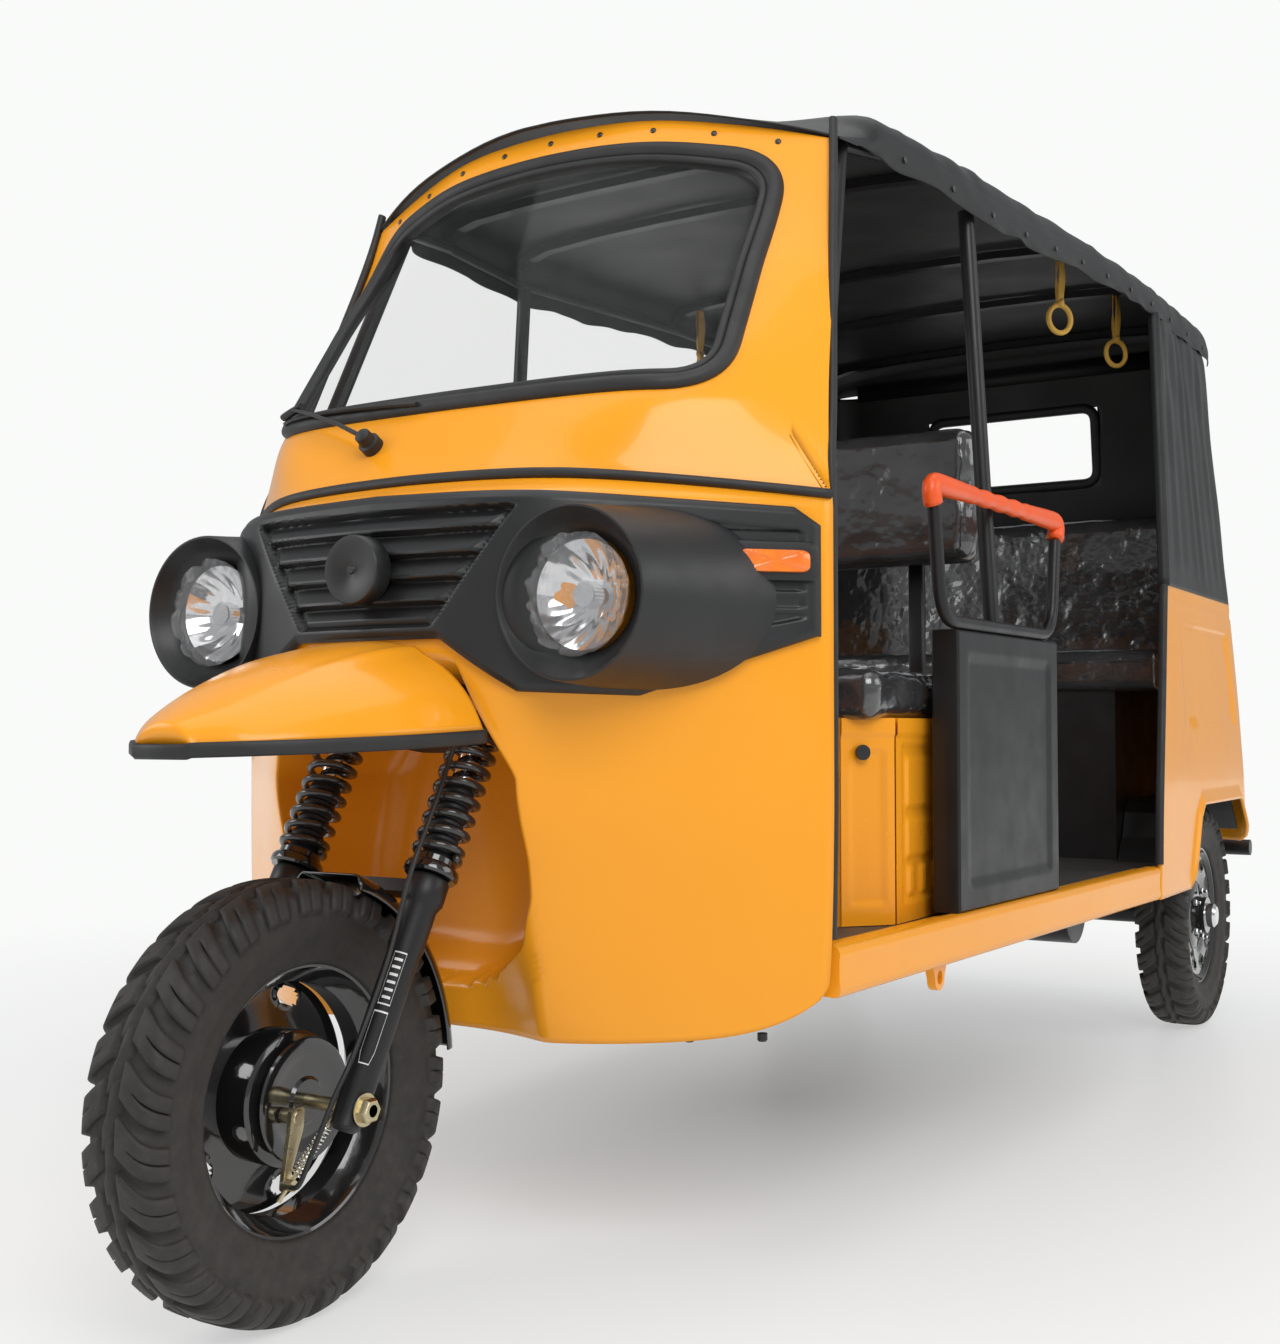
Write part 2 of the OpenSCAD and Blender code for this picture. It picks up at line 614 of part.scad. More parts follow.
module wheel_housings() {
    arch_top = [for (i = [1:6]) arch[i]];
    color("black") ahead() both_sides() difference() {
        prism_x(housing_x, rear_half_w - shell_t - 8) polygon(concat([[arch[0][0], 380]],
            [for (p = arch_top) p + [0, 9]]));
        prism_x(housing_x + 8, 700) offset(delta = -fit) polygon([for (p = arch) p]);
        block([0, arch[6][0] - 36, 300], [700, 3200, 484]);
    }
}
lamp_t = 14;
module tail_lamps() {
    color("red") ahead() both_sides() intersection() {
        skin([for (row = rear_rows) around(rear_path(row, -lamp_t - fit))],
            [for (row = rear_rows) around(rear_path(row, -fit))]);
        prism_y(rear_wall_y - 120, 3200) translate([470, 590]) square([105, 100]);
    }
}
module rear_bumper() {
    color("black") ahead() {
        bar([-590, bumper_y, sill_bottom + 48], [590, bumper_y, sill_bottom + 48], bumper_r);
        both_sides() block([rail_x - 18, 2900 + fit, rail_top - 50], [rail_x + 18, bumper_y - 10, rail_top - 10]);
    }
}

// Roof sections: station, half width, edge height, crown height, how far the ends sweep back,
// and how square the shoulders are
roof_crown = 95;
roof_rows = [
    [572, front_half_w - 84, header_z - 60, header_z + 9, 130, 0],
    [700, front_half_w - 78, header_z - 52, header_z + 26, 90, 0.5],
    [850, front_half_w - 66, header_z - 44, header_z + 40, 0, 1],
    [1190, front_half_w - 33, header_z - 45, header_z + 62, 0, 1],
    [1870, front_half_w - 13, roof_edge_z - 20, roof_edge_z + 72, 0, 1],
    [2320, front_half_w, roof_edge_z, roof_edge_z + 86, 0, 1],
    [2800, front_half_w + 4, roof_edge_z, roof_edge_z + roof_crown, 0, 1],
    [rear_wall_y - 184, front_half_w - 2, roof_edge_z, roof_edge_z + 62, 0, 1],
    [rear_wall_y - 174, front_half_w - 4, roof_edge_z, roof_edge_z + 10, 0, 1]];
shoulder = [[1, 0], [1, 0.3], [0.985, 0.55], [0.95, 0.74], [0.86, 0.86], [0.6, 0.95], [0.3, 0.99], [0, 1]];
canvas_t = 6;
function rise(p, square) = mix(1 - p[0] * p[0], p[1], square);
function roof_half(row, t) = [for (p = shoulder) let(h = row[3] - row[2], v = rise(p, row[5]))
    [p[0] * (row[1] - t), row[0] + row[4] * pow(p[0], 2), row[2] + v * (h - t)]];
function flip(p) = len(p) == 2 ? [-p[0], p[1]] : [-p[0], p[1], p[2]];
function across(half) = concat([for (p = half) flip(p)], [for (i = [len(half) - 2:-1:0]) half[i]]);
function roof_row(y, i = 0) = y >= roof_rows[i + 1][0] && i < len(roof_rows) - 2 ? roof_row(y, i + 1)
    : mix(roof_rows[i], roof_rows[i + 1], (y - roof_rows[i][0]) / (roof_rows[i + 1][0] - roof_rows[i][0]));
// The ends of a section sweep back, so the side edge at a station belongs to an earlier section
function side_row(y) = roof_row(y - roof_row(y - 60)[4]);
function roof_x(y) = side_row(y)[1] - canvas_t;
function roof_low(y) = roof_row(y)[2];
module roof_canvas() {
    color("black") ahead() skin([for (row = roof_rows) across(roof_half(row, 0))],
        [for (row = roof_rows) across([for (p = roof_half(row, canvas_t))
            [p[0], min(p[1], roof_rows[len(roof_rows) - 1][0] - canvas_t), p[2]]])]);
}
module rear_canvas() {
    color("black") ahead() difference() {
        rear_skin(canvas_rows, canvas_t);
        prism_y(2500, 3100) translate([-window_w / 2, 1413]) offset(r = 30) offset(delta = -30)
            square([window_w, window_h]);
    }
}
bow_stations = [920, 1190, 1870, 2320, 2780];
bow_w = 24;
bow_t = 16;
bow_gap = 1.4;
rail_r = 10;
// Half of a bow's outline in X and Z, this far below the canvas
function bow_half(row, drop) = [for (p = shoulder) if (p[0] < 0.99)
    [p[0] * (row[1] - canvas_t - drop), row[2] + rise(p, row[5]) * (row[3] - row[2] - canvas_t) - drop]];
module bow(y) {
    row = roof_row(y);
    outer = across(bow_half(row, bow_gap));
    inner = across(bow_half(row, bow_gap + bow_t));
    prism_y(y - bow_w / 2, y + bow_w / 2)
        polygon(concat(outer, [for (i = [len(inner) - 1:-1:0]) inner[i]]));
}
module roof_frame() {
    front_y = post_top_y + post_r + 1;
    sides = concat([[roof_front_x, front_y, roof_low(front_y)]],
        [for (y = [920, 1190, 1870, 2320, 2800]) [roof_x(y) - rail_r - 3, y, roof_low(y) + 14]]);
    color("black") ahead() {
        both_sides() tube(sides, rail_r);
        for (y = bow_stations) bow(y);
        both_sides() for (y = bow_stations) block([roof_x(y) - rail_r - 10, y - bow_w / 2, roof_low(y) + 14],
            [roof_x(y) - rail_r, y + bow_w / 2, roof_low(y) + 0.5 * (roof_row(y)[3] - roof_low(y))]);
    }
}
strap_stations = [bow_stations[2], bow_stations[3]];
strap_x = 440;
strap_len = 110;
ring_r = 26;
// Height of a bow's underside
function bow_low(x, y) = let(row = roof_row(y), drop = bow_gap + bow_t)
    row[2] + lookup(x / (row[1] - canvas_t - drop), shoulder) * (row[3] - row[2] - canvas_t) - drop;
module hand_straps() {
    color("goldenrod") ahead() both_sides() for (y = strap_stations) {
        z = bow_low(strap_x + 2, y) - fit;
        block([strap_x - 2, y - 12, z - strap_len], [strap_x + 2, y + 12, z]);
        translate([strap_x, y, z - strap_len - ring_r]) rotate([0, 90, 0]) rotate_extrude()
            translate([ring_r, 0]) circle(r = 6);
    }
}

// Rear axle with its differential and motor, on leaf springs
module rear_axle() {
    color("black") ahead() translate([0, rear_axle_y, axle_z]) rotate([0, 90, 0]) {
        translate([0, 0, -(half_track - hub_half_w - fit)])
            cylinder(r = 28, h = 2 * (half_track - hub_half_w - fit));
        translate([0, 0, -90]) cylinder(r = 82, h = 150);
        translate([0, 0, 60]) cylinder(r = 92, h = 170);
    }
}
module rear_springs() {
    color("black") ahead() both_sides() for (i = [0:4]) let(z = leaf_top - 8 * (i + 1))
        block([leaf_x - 25, leaf_front - 18 + 62 * i, z], [leaf_x + 25, leaf_rear + 18 - 36 * i, z + 8]);
}

// Front fork: two legs with a crown at the top, a brace over the tyre and the steering stem
leg_r = 21;
tube_r = 15;
axle_r = 9;
crown_up = seat_up + spring_len + 4;
crown_t = 22;
crown_w = fork_half_w + 21;
guard_r = tyre_r + 12;
guard_t = 4;
module fork() {
    color("black") ahead() raked() difference() {
        union() {
            both_sides() {
                translate([fork_half_w, 0, -28]) cylinder(r = leg_r, h = seat_up + 28);
                translate([fork_half_w, 0, seat_up]) cylinder(r = tube_r, h = crown_up + crown_t - seat_up);
                translate([fork_half_w, 0, seat_up - 14]) cylinder(r = 38, h = 14 - fit);
            }
            translate([0, 0, crown_up]) linear_extrude(crown_t) polygon([[-crown_w, -8], [-crown_w + 14, -22],
                [crown_w - 14, -22], [crown_w, -8], [crown_w, 14], [28, fork_offset + 26], [-28, fork_offset + 26],
                [-crown_w, 14]]);
            translate([-fork_half_w, 12, guard_r + guard_t + fit]) cube([2 * fork_half_w, 26, 18]);
            translate([0, fork_offset, crown_up]) cylinder(r = stem_r, h = 420);
        }
        translate([-fork_half_w - 60, 0, 0]) rotate([0, 90, 0]) cylinder(r = axle_r + fit, h = 2 * fork_half_w + 120);
    }
}
coil_turns = 7;
coil_r = 30;
wire_r = 5;
module fork_springs() {
    low = seat_up + wire_r * cos(30);
    pitch = (crown_up - wire_r * cos(30) - fit - low) / coil_turns;
    color("dimgray") ahead() raked() both_sides() translate([fork_half_w, 0, low])
        tube([for (i = [0:12 * coil_turns]) [coil_r * cos(30 * i), coil_r * sin(30 * i), i * pitch / 12]],
            wire_r, 6, [0, 0, 1]);
}
module handlebar() {
    up = crown_up + 420 + fit;
    color("black") ahead() raked() {
        translate([-35, fork_offset - 22, up]) cube([70, 44, 52]);
        translate([0, fork_offset, up + 30]) tube(rounded([[-330, 60, 10], [-150, 0, 20], [150, 0, 20],
            [330, 60, 10]], 50), 12, up = [0.05, 0.1, 1]);
    }
}
module front_mudguard() {
    half = tyre_w / 2 + 6;
    color("black") ahead() translate([0, 0, axle_z]) rotate([0, 90, 0]) rotate([0, 0, 108])
        rotate_extrude(angle = 68, $fn = 96) union() {
            translate([guard_r, -half]) square([guard_t, 2 * half]);
            for (x = [-half - guard_t, half]) translate([guard_r - 18, x]) square([18 + guard_t, guard_t]);
        }
}
drum_r = 84;
drum_w = 78;
plate_x = drum_w / 2 + fit;
module brake_rod() {
    color("silver") ahead() translate([0, 0, axle_z]) {
        rotate([0, 90, 0]) difference() {
            union() {
                translate([0, 0, plate_x]) cylinder(r = drum_r - 6, h = 7);
                cylinder(r = axle_r, h = 2 * (fork_half_w + leg_r + 14), center = true);
                for (s = [-1, 1]) translate([0, 0, s * (fork_half_w + leg_r + 8)])
                    cylinder(r = 16, h = 14, center = true, $fn = 6);
            }
        }
        bar([plate_x + 6, -40, -10], [plate_x + 30, -40, -10], 9);
        hull() {
            translate([plate_x + 24, -40, -10]) rotate([0, 90, 0]) cylinder(r = 11, h = 6, $fn = 32);
            translate([plate_x + 24, -62, -86]) rotate([0, 90, 0]) cylinder(r = 7, h = 6, $fn = 32);
        }
    }
}
cable_r = 3.5;
cable_route = [[plate_x + 31, -62, 187], [92, -64, 190], [106, -58, 224], [117, -30, 290], [122, 1, 341],
    [124, 59, 446], [124, 102, 548], [124, 156, 644], [122, 204, 728], [118, 236, 756]];
// Points of a smooth curve through a route, this many steps from one point to the next
function smooth(p, steps) = [for (i = [0:len(p) - 2], s = [0:steps - 1]) let(t = s / steps,
    a = p[max(i - 1, 0)], b = p[i], c = p[i + 1], d = p[min(i + 2, len(p) - 1)])
        0.5 * (2 * b + (c - a) * t + (2 * a - 5 * b + 4 * c - d) * t * t + (3 * b - a - 3 * c + d) * t * t * t)];
module brake_cable() {
    color("black") ahead() tube(concat(smooth(cable_route, 4), [cable_route[len(cable_route) - 1]]), cable_r, 8);
}

// Wheels, each drawn round its own axle along X
tyre_bead_r = rim_r - 8;
hand_r = rim_r - 56;
lugs = 20;
lug_h = 9;
// Tyre section: distance from the middle and radius at a groove, with the share of a lug's height on it.
// Each lug row has two of the four rings of a pitch, and the rows on the two sides are staggered.
wall_half = [[38, tyre_bead_r, 0], [53, tyre_bead_r + 30, 0], [56, tyre_r - 50, 0], [54, tyre_r - 26, 0.7],
    [40, tyre_r - 13, 1], [12, tyre_r - lug_h, 1]];
function lug_on(side, k) = side > 0 ? k % 4 < 2 : k % 4 > 1;
function tyre_ring(k) = let(w = tyre_w / 112)
    concat([for (p = wall_half) [p[0] * w, p[1] + (lug_on(1, k) ? p[2] * lug_h : 0)]],
        [for (i = [5:-1:0]) let(p = wall_half[i]) [-p[0] * w, p[1] + (lug_on(-1, k) ? p[2] * lug_h : 0)]]);
module tyre() {
    rings = 4 * lugs;
    n = 2 * len(wall_half);
    points = [for (k = [0:rings - 1]) let(a = 90 / lugs * (k - (k % 2 == 0 ? 0 : 0.45)))
        for (p = tyre_ring(k)) [p[0], p[1] * cos(a), p[1] * sin(a)]];
    faces = [for (k = [0:rings - 1], i = [0:n - 1]) let(j = (i + 1) % n, m = (k + 1) % rings) each [
        [k * n + i, m * n + i, m * n + j], [k * n + i, m * n + j, k * n + j]]];
    polyhedron(points = points, faces = faces, convexity = 6);
}
module rim(dish) {
    w = tyre_w / 2 - 18 - fit;
    rotate([0, 90, 0]) {
        rotate_extrude($fn = 96) polygon([[rim_r - 12, -w], [rim_r - 8 - fit, -w + 2], [rim_r - 12, -w + 14],
            [rim_r - 26, -w + 16], [rim_r - 26, w - 16], [rim_r - 12, w - 14], [rim_r - 8 - fit, w - 2], [rim_r - 12, w],
            [rim_r - 18, w - 2], [rim_r - 30, w - 12], [rim_r - 30, -w + 12], [rim_r - 18, -w + 2]]);
        difference() {
            translate([0, 0, dish - 6]) cylinder(r = rim_r - 28, h = 6);
            for (i = [0:5]) rotate([0, 0, 60 * i]) translate([hand_r, 0, dish - 10]) cylinder(r = 14, h = 20);
            translate([0, 0, dish - 8]) cylinder(r = axle_r + 1, h = 12);
        }
    }
}
module front_tyre() {
    color("black") ahead() translate([0, 0, axle_z]) tyre();
}
module front_rim() {
    color("black") ahead() translate([0, 0, axle_z]) difference() {
        union() {
            rim(-drum_w / 2 + 14);
            rotate([0, 90, 0]) cylinder(r = drum_r, h = drum_w, center = true);
        }
        rotate([0, 90, 0]) cylinder(r = axle_r + 0.05, h = 200, center = true);
    }
}
module rear_wheel_rim() {
    rim(hub_half_w - 16);
    rotate([0, 90, 0]) {
        translate([0, 0, -hub_half_w]) cylinder(r = drum_r, h = 2 * hub_half_w - 16);
        translate([0, 0, hub_half_w - 17]) cylinder(r = 38, h = 30);
    }
}
module at_rear(side) {
    ahead() translate([side * half_track, rear_axle_y, axle_z]) rotate([0, 0, side > 0 ? 0 : 180]) children();
}
module left_tyre() {
    color("black") at_rear(1) tyre();
}
module left_rim() {
    color("black") at_rear(1) rear_wheel_rim();
}
module right_tyre() {
    color("black") at_rear(-1) tyre();
}
module right_rim() {
    color("black") at_rear(-1) rear_wheel_rim();
}

cowl();
windscreen_frame();
windscreen_gasket();
windscreen_glass();
belt_strip();
front_fascia();
headlamps();
indicators();
beak();
beak_trim();
wiper();
chassis_frame();
floor_pan();
sills();
door_posts();
divider_panels();
grab_hoops();
grab_grips();
seat_box();
battery_pack();
driver_cushion();
driver_backrest();
bench_base();
bench_cushion();
bench_backrest();
rear_body();
wheel_housings();
tail_lamps();
rear_bumper();
roof_frame();
roof_canvas();
rear_canvas();
hand_straps();
rear_axle();
rear_springs();
fork();
fork_springs();
handlebar();
front_mudguard();
brake_rod();
brake_cable();
front_tyre();
front_rim();
left_tyre();
left_rim();
right_tyre();
right_rim();
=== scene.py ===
"""Looks of the electric passenger rickshaw: paint, glass, rubber, canvas, seats and running gear.

Lengths are metres. X points to the vehicle's left, the front faces -Y and Z is up. Body shapes use
stations measured from the front axle, and placed() moves them to the frame's origin.
"""
import json
import math

import bpy
import numpy as np
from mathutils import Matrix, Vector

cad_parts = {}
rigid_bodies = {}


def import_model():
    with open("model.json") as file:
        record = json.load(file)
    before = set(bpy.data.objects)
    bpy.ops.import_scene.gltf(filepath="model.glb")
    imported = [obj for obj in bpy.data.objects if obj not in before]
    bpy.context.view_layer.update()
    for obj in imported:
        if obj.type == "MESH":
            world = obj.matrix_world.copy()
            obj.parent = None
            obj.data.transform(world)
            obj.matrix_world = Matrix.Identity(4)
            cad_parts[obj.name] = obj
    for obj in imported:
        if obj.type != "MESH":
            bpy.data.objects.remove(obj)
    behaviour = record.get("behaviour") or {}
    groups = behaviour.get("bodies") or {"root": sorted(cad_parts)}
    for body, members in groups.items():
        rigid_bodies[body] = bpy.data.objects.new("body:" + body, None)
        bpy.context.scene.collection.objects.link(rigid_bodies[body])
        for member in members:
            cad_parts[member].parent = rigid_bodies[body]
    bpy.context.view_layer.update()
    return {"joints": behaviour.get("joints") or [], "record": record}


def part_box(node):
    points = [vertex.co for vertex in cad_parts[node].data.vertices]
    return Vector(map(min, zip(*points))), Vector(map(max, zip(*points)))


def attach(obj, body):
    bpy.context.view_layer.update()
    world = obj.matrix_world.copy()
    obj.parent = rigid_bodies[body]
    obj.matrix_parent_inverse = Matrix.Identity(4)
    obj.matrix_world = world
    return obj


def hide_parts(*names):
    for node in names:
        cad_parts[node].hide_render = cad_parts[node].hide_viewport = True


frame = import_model()
record = frame["record"]


def middle(node):
    """Middle of a node's box."""
    lo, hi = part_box(node)
    return np.array((lo + hi) / 2)


FRONT_AXLE = middle("front_tyre")
AXLE_Y = FRONT_AXLE[1]
TYRE_R = (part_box("left_tyre")[1].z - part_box("left_tyre")[0].z) / 2
STEER_AXIS = np.array(frame["joints"][0]["axis"])
RAKE = math.atan2(STEER_AXIS[1], STEER_AXIS[2])

# ---------------------------------------------------------------- camera, light and floor

CAMERA_AT = (1.444, -2.9035, 0.7308)
CAMERA_PITCH = math.radians(2.12)
CAMERA_TURN = math.radians(31.39)
FOCAL = 42.94
FLOOR_WHITE = 0.93


def make_camera():
    """The photograph's viewpoint, held low and close in front of the left corner."""
    data = bpy.data.cameras.new("camera")
    data.lens = FOCAL
    camera = bpy.data.objects.new("camera", data)
    camera.location = CAMERA_AT
    camera.rotation_euler = (math.pi / 2 + CAMERA_PITCH, 0.0, CAMERA_TURN)
    bpy.context.scene.collection.objects.link(camera)
    bpy.context.scene.camera = camera


def soft_lamp(name, place, target, size, power):
    """A square studio softbox that looks from its place to its target."""
    data = bpy.data.lights.new(name, "AREA")
    data.shape = "RECTANGLE"
    data.size, data.size_y = size
    data.energy = power
    lamp = bpy.data.objects.new(name, data)
    lamp.location = place
    aim = bpy.data.objects.new(name, None).location.copy()
    aim.x, aim.y, aim.z = target
    lamp.rotation_euler = (aim - lamp.location).to_track_quat("-Z", "Y").to_euler()
    bpy.context.scene.collection.objects.link(lamp)


def make_world():
    """A pale room: white to the camera, a soft plain level on the object."""
    world = bpy.data.worlds.new("room")
    bpy.context.scene.world = world
    world.use_nodes = True
    nodes, links = world.node_tree.nodes, world.node_tree.links
    nodes.clear()
    seen, lit, pick, path, out = (nodes.new(k) for k in (
        "ShaderNodeBackground", "ShaderNodeBackground", "ShaderNodeMixShader", "ShaderNodeLightPath",
        "ShaderNodeOutputWorld"))
    seen.inputs["Color"].default_value = (0.95, 0.96, 0.95, 1)
    seen.inputs["Strength"].default_value = 1.0
    lit.inputs["Color"].default_value = (0.96, 0.98, 1.0, 1)
    lit.inputs["Strength"].default_value = 0.46
    links.new(path.outputs["Is Camera Ray"], pick.inputs["Fac"])
    links.new(lit.outputs["Background"], pick.inputs[1])
    links.new(seen.outputs["Background"], pick.inputs[2])
    links.new(pick.outputs["Shader"], out.inputs["Surface"])


def make_floor():
    """A pale studio floor that keeps the shadow near the vehicle and fades to white far off."""
    half = 30.0
    mesh = bpy.data.meshes.new("floor")
    mesh.from_pydata([(-half, -half, 0), (half, -half, 0), (half, half, 0), (-half, half, 0)], [], [(0, 1, 2, 3)])
    floor = bpy.data.objects.new("floor", mesh)
    bpy.context.scene.collection.objects.link(floor)
    paint = bpy.data.materials.new("floor_white")
    paint.use_nodes = True
    nodes, links = paint.node_tree.nodes, paint.node_tree.links
    nodes.clear()
    matt, glow, pick, where, far, out = (nodes.new(k) for k in (
        "ShaderNodeBsdfPrincipled", "ShaderNodeEmission", "ShaderNodeMixShader", "ShaderNodeTexCoord",
        "ShaderNodeMapRange", "ShaderNodeOutputMaterial"))
    reach = nodes.new("ShaderNodeVectorMath")
    reach.operation = "LENGTH"
    matt.inputs["Base Color"].default_value = (FLOOR_WHITE, FLOOR_WHITE, FLOOR_WHITE, 1)
    matt.inputs["Roughness"].default_value = 0.35
    matt.inputs["Specular IOR Level"].default_value = 0.35
    glow.inputs["Color"].default_value = (0.95, 0.96, 0.95, 1)
    far.inputs["From Min"].default_value = -1.6
    far.inputs["From Max"].default_value = 4.2
    far.interpolation_type = "SMOOTHSTEP"
    links.new(where.outputs["Object"], reach.inputs[0])
    links.new(reach.outputs["Value"], far.inputs["Value"])
    links.new(far.outputs["Result"], pick.inputs["Fac"])
    links.new(matt.outputs["BSDF"], pick.inputs[1])
    links.new(glow.outputs["Emission"], pick.inputs[2])
    links.new(pick.outputs["Shader"], out.inputs["Surface"])
    floor.data.materials.append(paint)


bpy.context.scene.view_settings.view_transform = "Standard"
make_camera()
make_world()
make_floor()
soft_lamp("key", (3.2, -3.6, 3.6), (0.0, -0.6, 0.9), (2.6, 2.6), 118)
soft_lamp("side", (4.6, 1.2, 2.6), (0.3, 0.4, 0.9), (3.0, 2.0), 40)
soft_lamp("front", (-3.4, -3.4, 2.6), (0.0, -1.0, 0.9), (2.2, 2.2), 50)
soft_lamp("top", (0.0, -0.4, 4.6), (0.0, 0.0, 1.0), (4.0, 5.0), 70)

# ---------------------------------------------------------------- materials

LOOKS = {}


def finish(name, colour, rough, shade=None, patch=5.0, metal=0.0, coat=0.0, spec=0.5, grain=0.0, depth=0.0,
           rough_swing=0.06, alpha=1.0, clear=0.0, ior=1.5, sheen=0.0, dust=None, stretch=(1, 1, 1), detail=3.0):
    """A surface: colour mottled towards shade, roughness that wanders, fine grain as bump, and dust from below.

    patch and grain are the pattern's repeats in a metre, depth the height of the grain in metres, and dust is
    (colour, height where it ends, share)."""
    look = bpy.data.materials.new(name)
    look.use_nodes = True
    nodes, links = look.node_tree.nodes, look.node_tree.links
    skin = nodes["Principled BSDF"]
    where = nodes.new("ShaderNodeTexCoord")
    turn = nodes.new("ShaderNodeMapping")
    turn.inputs["Scale"].default_value = stretch
    links.new(where.outputs["Object"], turn.inputs["Vector"])

    def noise(scale, fine):
        cloud = nodes.new("ShaderNodeTexNoise")
        cloud.inputs["Scale"].default_value = scale
        cloud.inputs["Detail"].default_value = fine
        links.new(turn.outputs["Vector"], cloud.inputs["Vector"])
        return cloud.outputs["Fac"]

    def spread(source, low, high, start=0.3, end=0.7):
        span = nodes.new("ShaderNodeMapRange")
        span.inputs["From Min"].default_value = start
        span.inputs["From Max"].default_value = end
        span.inputs["To Min"].default_value = low
        span.inputs["To Max"].default_value = high
        links.new(source, span.inputs["Value"])
        return span.outputs["Result"]

    def mixed(share, first, second):
        mix = nodes.new("ShaderNodeMix")
        mix.data_type = "RGBA"
        links.new(share, mix.inputs["Factor"])
        for socket, value in ((mix.inputs[6], first), (mix.inputs[7], second)):
            if isinstance(value, tuple):
                socket.default_value = (*value, 1)
            else:
                links.new(value, socket)
        return mix.outputs[2]

    tone = mixed(spread(noise(patch, 4.0), 0.0, 1.0), colour, shade or tuple(0.82 * c for c in colour))
    if dust:
        dusty, top, share = dust
        split = nodes.new("ShaderNodeSeparateXYZ")
        links.new(where.outputs["Object"], split.inputs["Vector"])
        low = spread(split.outputs["Z"], share, 0.0, 0.0, top)
        veil = nodes.new("ShaderNodeMath")
        veil.operation = "MULTIPLY"
        links.new(low, veil.inputs[0])
        links.new(spread(noise(3 * patch, 6.0), 0.25, 1.0), veil.inputs[1])
        tone = mixed(veil.outputs["Value"], tone, dusty)
    links.new(tone, skin.inputs["Base Color"])
    links.new(spread(noise(2.3 * patch, 5.0), max(0.02, rough - rough_swing), min(1.0, rough + rough_swing)),
              skin.inputs["Roughness"])
    skin.inputs["Metallic"].default_value = metal
    skin.inputs["Coat Weight"].default_value = coat
    skin.inputs["Coat Roughness"].default_value = 0.04
    skin.inputs["Specular IOR Level"].default_value = spec
    skin.inputs["Alpha"].default_value = alpha
    skin.inputs["Transmission Weight"].default_value = clear
    skin.inputs["IOR"].default_value = ior
    skin.inputs["Sheen Weight"].default_value = sheen
    if grain:
        bump = nodes.new("ShaderNodeBump")
        bump.inputs["Distance"].default_value = depth
        bump.inputs["Strength"].default_value = 1.0
        links.new(noise(grain, detail), bump.inputs["Height"])
        links.new(bump.outputs["Normal"], skin.inputs["Normal"])
    LOOKS[name] = look
    return look


YELLOW = (0.93, 0.365, 0.018)
finish("yellow_paint", YELLOW, 0.24, shade=(0.90, 0.34, 0.012), patch=1.6, coat=0.22, spec=0.26, grain=9.0, depth=0.0016,
       rough_swing=0.05, detail=1.0, dust=((0.62, 0.36, 0.12), 0.5, 0.10))
finish("black_paint", (0.0075, 0.0075, 0.0085), 0.40, shade=(0.012, 0.012, 0.013), patch=7.0, coat=0.05, spec=0.35, grain=320.0,
       depth=0.0001, dust=((0.06, 0.055, 0.047), 0.5, 0.16))
finish("rim_paint", (0.006, 0.006, 0.007), 0.12, shade=(0.012, 0.011, 0.011), patch=9.0, coat=0.9, grain=60.0,
       depth=0.0003, dust=((0.09, 0.08, 0.07), 0.45, 0.16))
finish("floor_metal", (0.035, 0.035, 0.036), 0.55, shade=(0.06, 0.055, 0.05), patch=6.0, grain=240.0, depth=0.0004)
finish("black_plastic", (0.0075, 0.008, 0.0088), 0.42, shade=(0.011, 0.0115, 0.0125), patch=6.0, grain=900.0,
       depth=0.00010, rough_swing=0.07)
finish("battery_plastic", (0.05, 0.055, 0.06), 0.5, patch=8.0, grain=400.0, depth=0.0002)
finish("orange_plastic", (0.88, 0.105, 0.006), 0.36, shade=(0.82, 0.09, 0.005), patch=9.0, grain=600.0, depth=0.0001)
finish("rubber", (0.010, 0.010, 0.011), 0.55, shade=(0.018, 0.018, 0.018), patch=14.0, grain=500.0, depth=0.00015)
finish("tyre", (0.012, 0.0115, 0.011), 0.66, shade=(0.020, 0.018, 0.016), patch=22.0, grain=260.0, depth=0.0005,
       dust=((0.075, 0.064, 0.050), 0.62, 0.42))
finish("glass", (0.03, 0.035, 0.035), 0.03, shade=(0.05, 0.055, 0.055), rough_swing=0.01, alpha=0.10, spec=0.9, patch=3.0)
finish("lens", (0.35, 0.36, 0.37), 0.04, shade=(0.30, 0.31, 0.32), rough_swing=0.02, alpha=0.12, spec=0.8, patch=30.0,
       grain=120.0, depth=0.0008)
# The film's pale colour at low alpha is a painted sheen standing in for the glints of crumpled wrapping; its gloss and
# coat also catch the lamps.
finish("film", (0.90, 0.92, 0.94), 0.10, shade=(0.80, 0.82, 0.85), rough_swing=0.05, alpha=0.12, spec=0.9,
       patch=20.0, coat=0.5)
finish("lamp_amber", (0.95, 0.22, 0.01), 0.14, shade=(0.85, 0.16, 0.01), patch=40.0, coat=0.6, grain=200.0,
       depth=0.0006)
finish("lamp_red", (0.50, 0.010, 0.008), 0.14, shade=(0.40, 0.006, 0.006), patch=40.0, coat=0.6, grain=200.0,
       depth=0.0006)
finish("wrap", (0.035, 0.036, 0.038), 0.16, shade=(0.06, 0.06, 0.062), rough_swing=0.08, alpha=0.86, spec=1.0, patch=14.0,
       coat=1.0, grain=16.0, depth=0.010, detail=2.5)
finish("vinyl", (0.010, 0.010, 0.011), 0.36, shade=(0.022, 0.022, 0.023), patch=8.0, coat=0.15, grain=620.0,
       depth=0.00035)
finish("canvas", (0.0055, 0.0058, 0.0065), 0.50, shade=(0.009, 0.0095, 0.010), patch=3.0, grain=700.0, depth=0.0003,
       sheen=0.03, spec=0.4)
finish("lining", (0.020, 0.020, 0.020), 0.75, shade=(0.030, 0.029, 0.028), patch=5.0, grain=400.0, depth=0.0006)
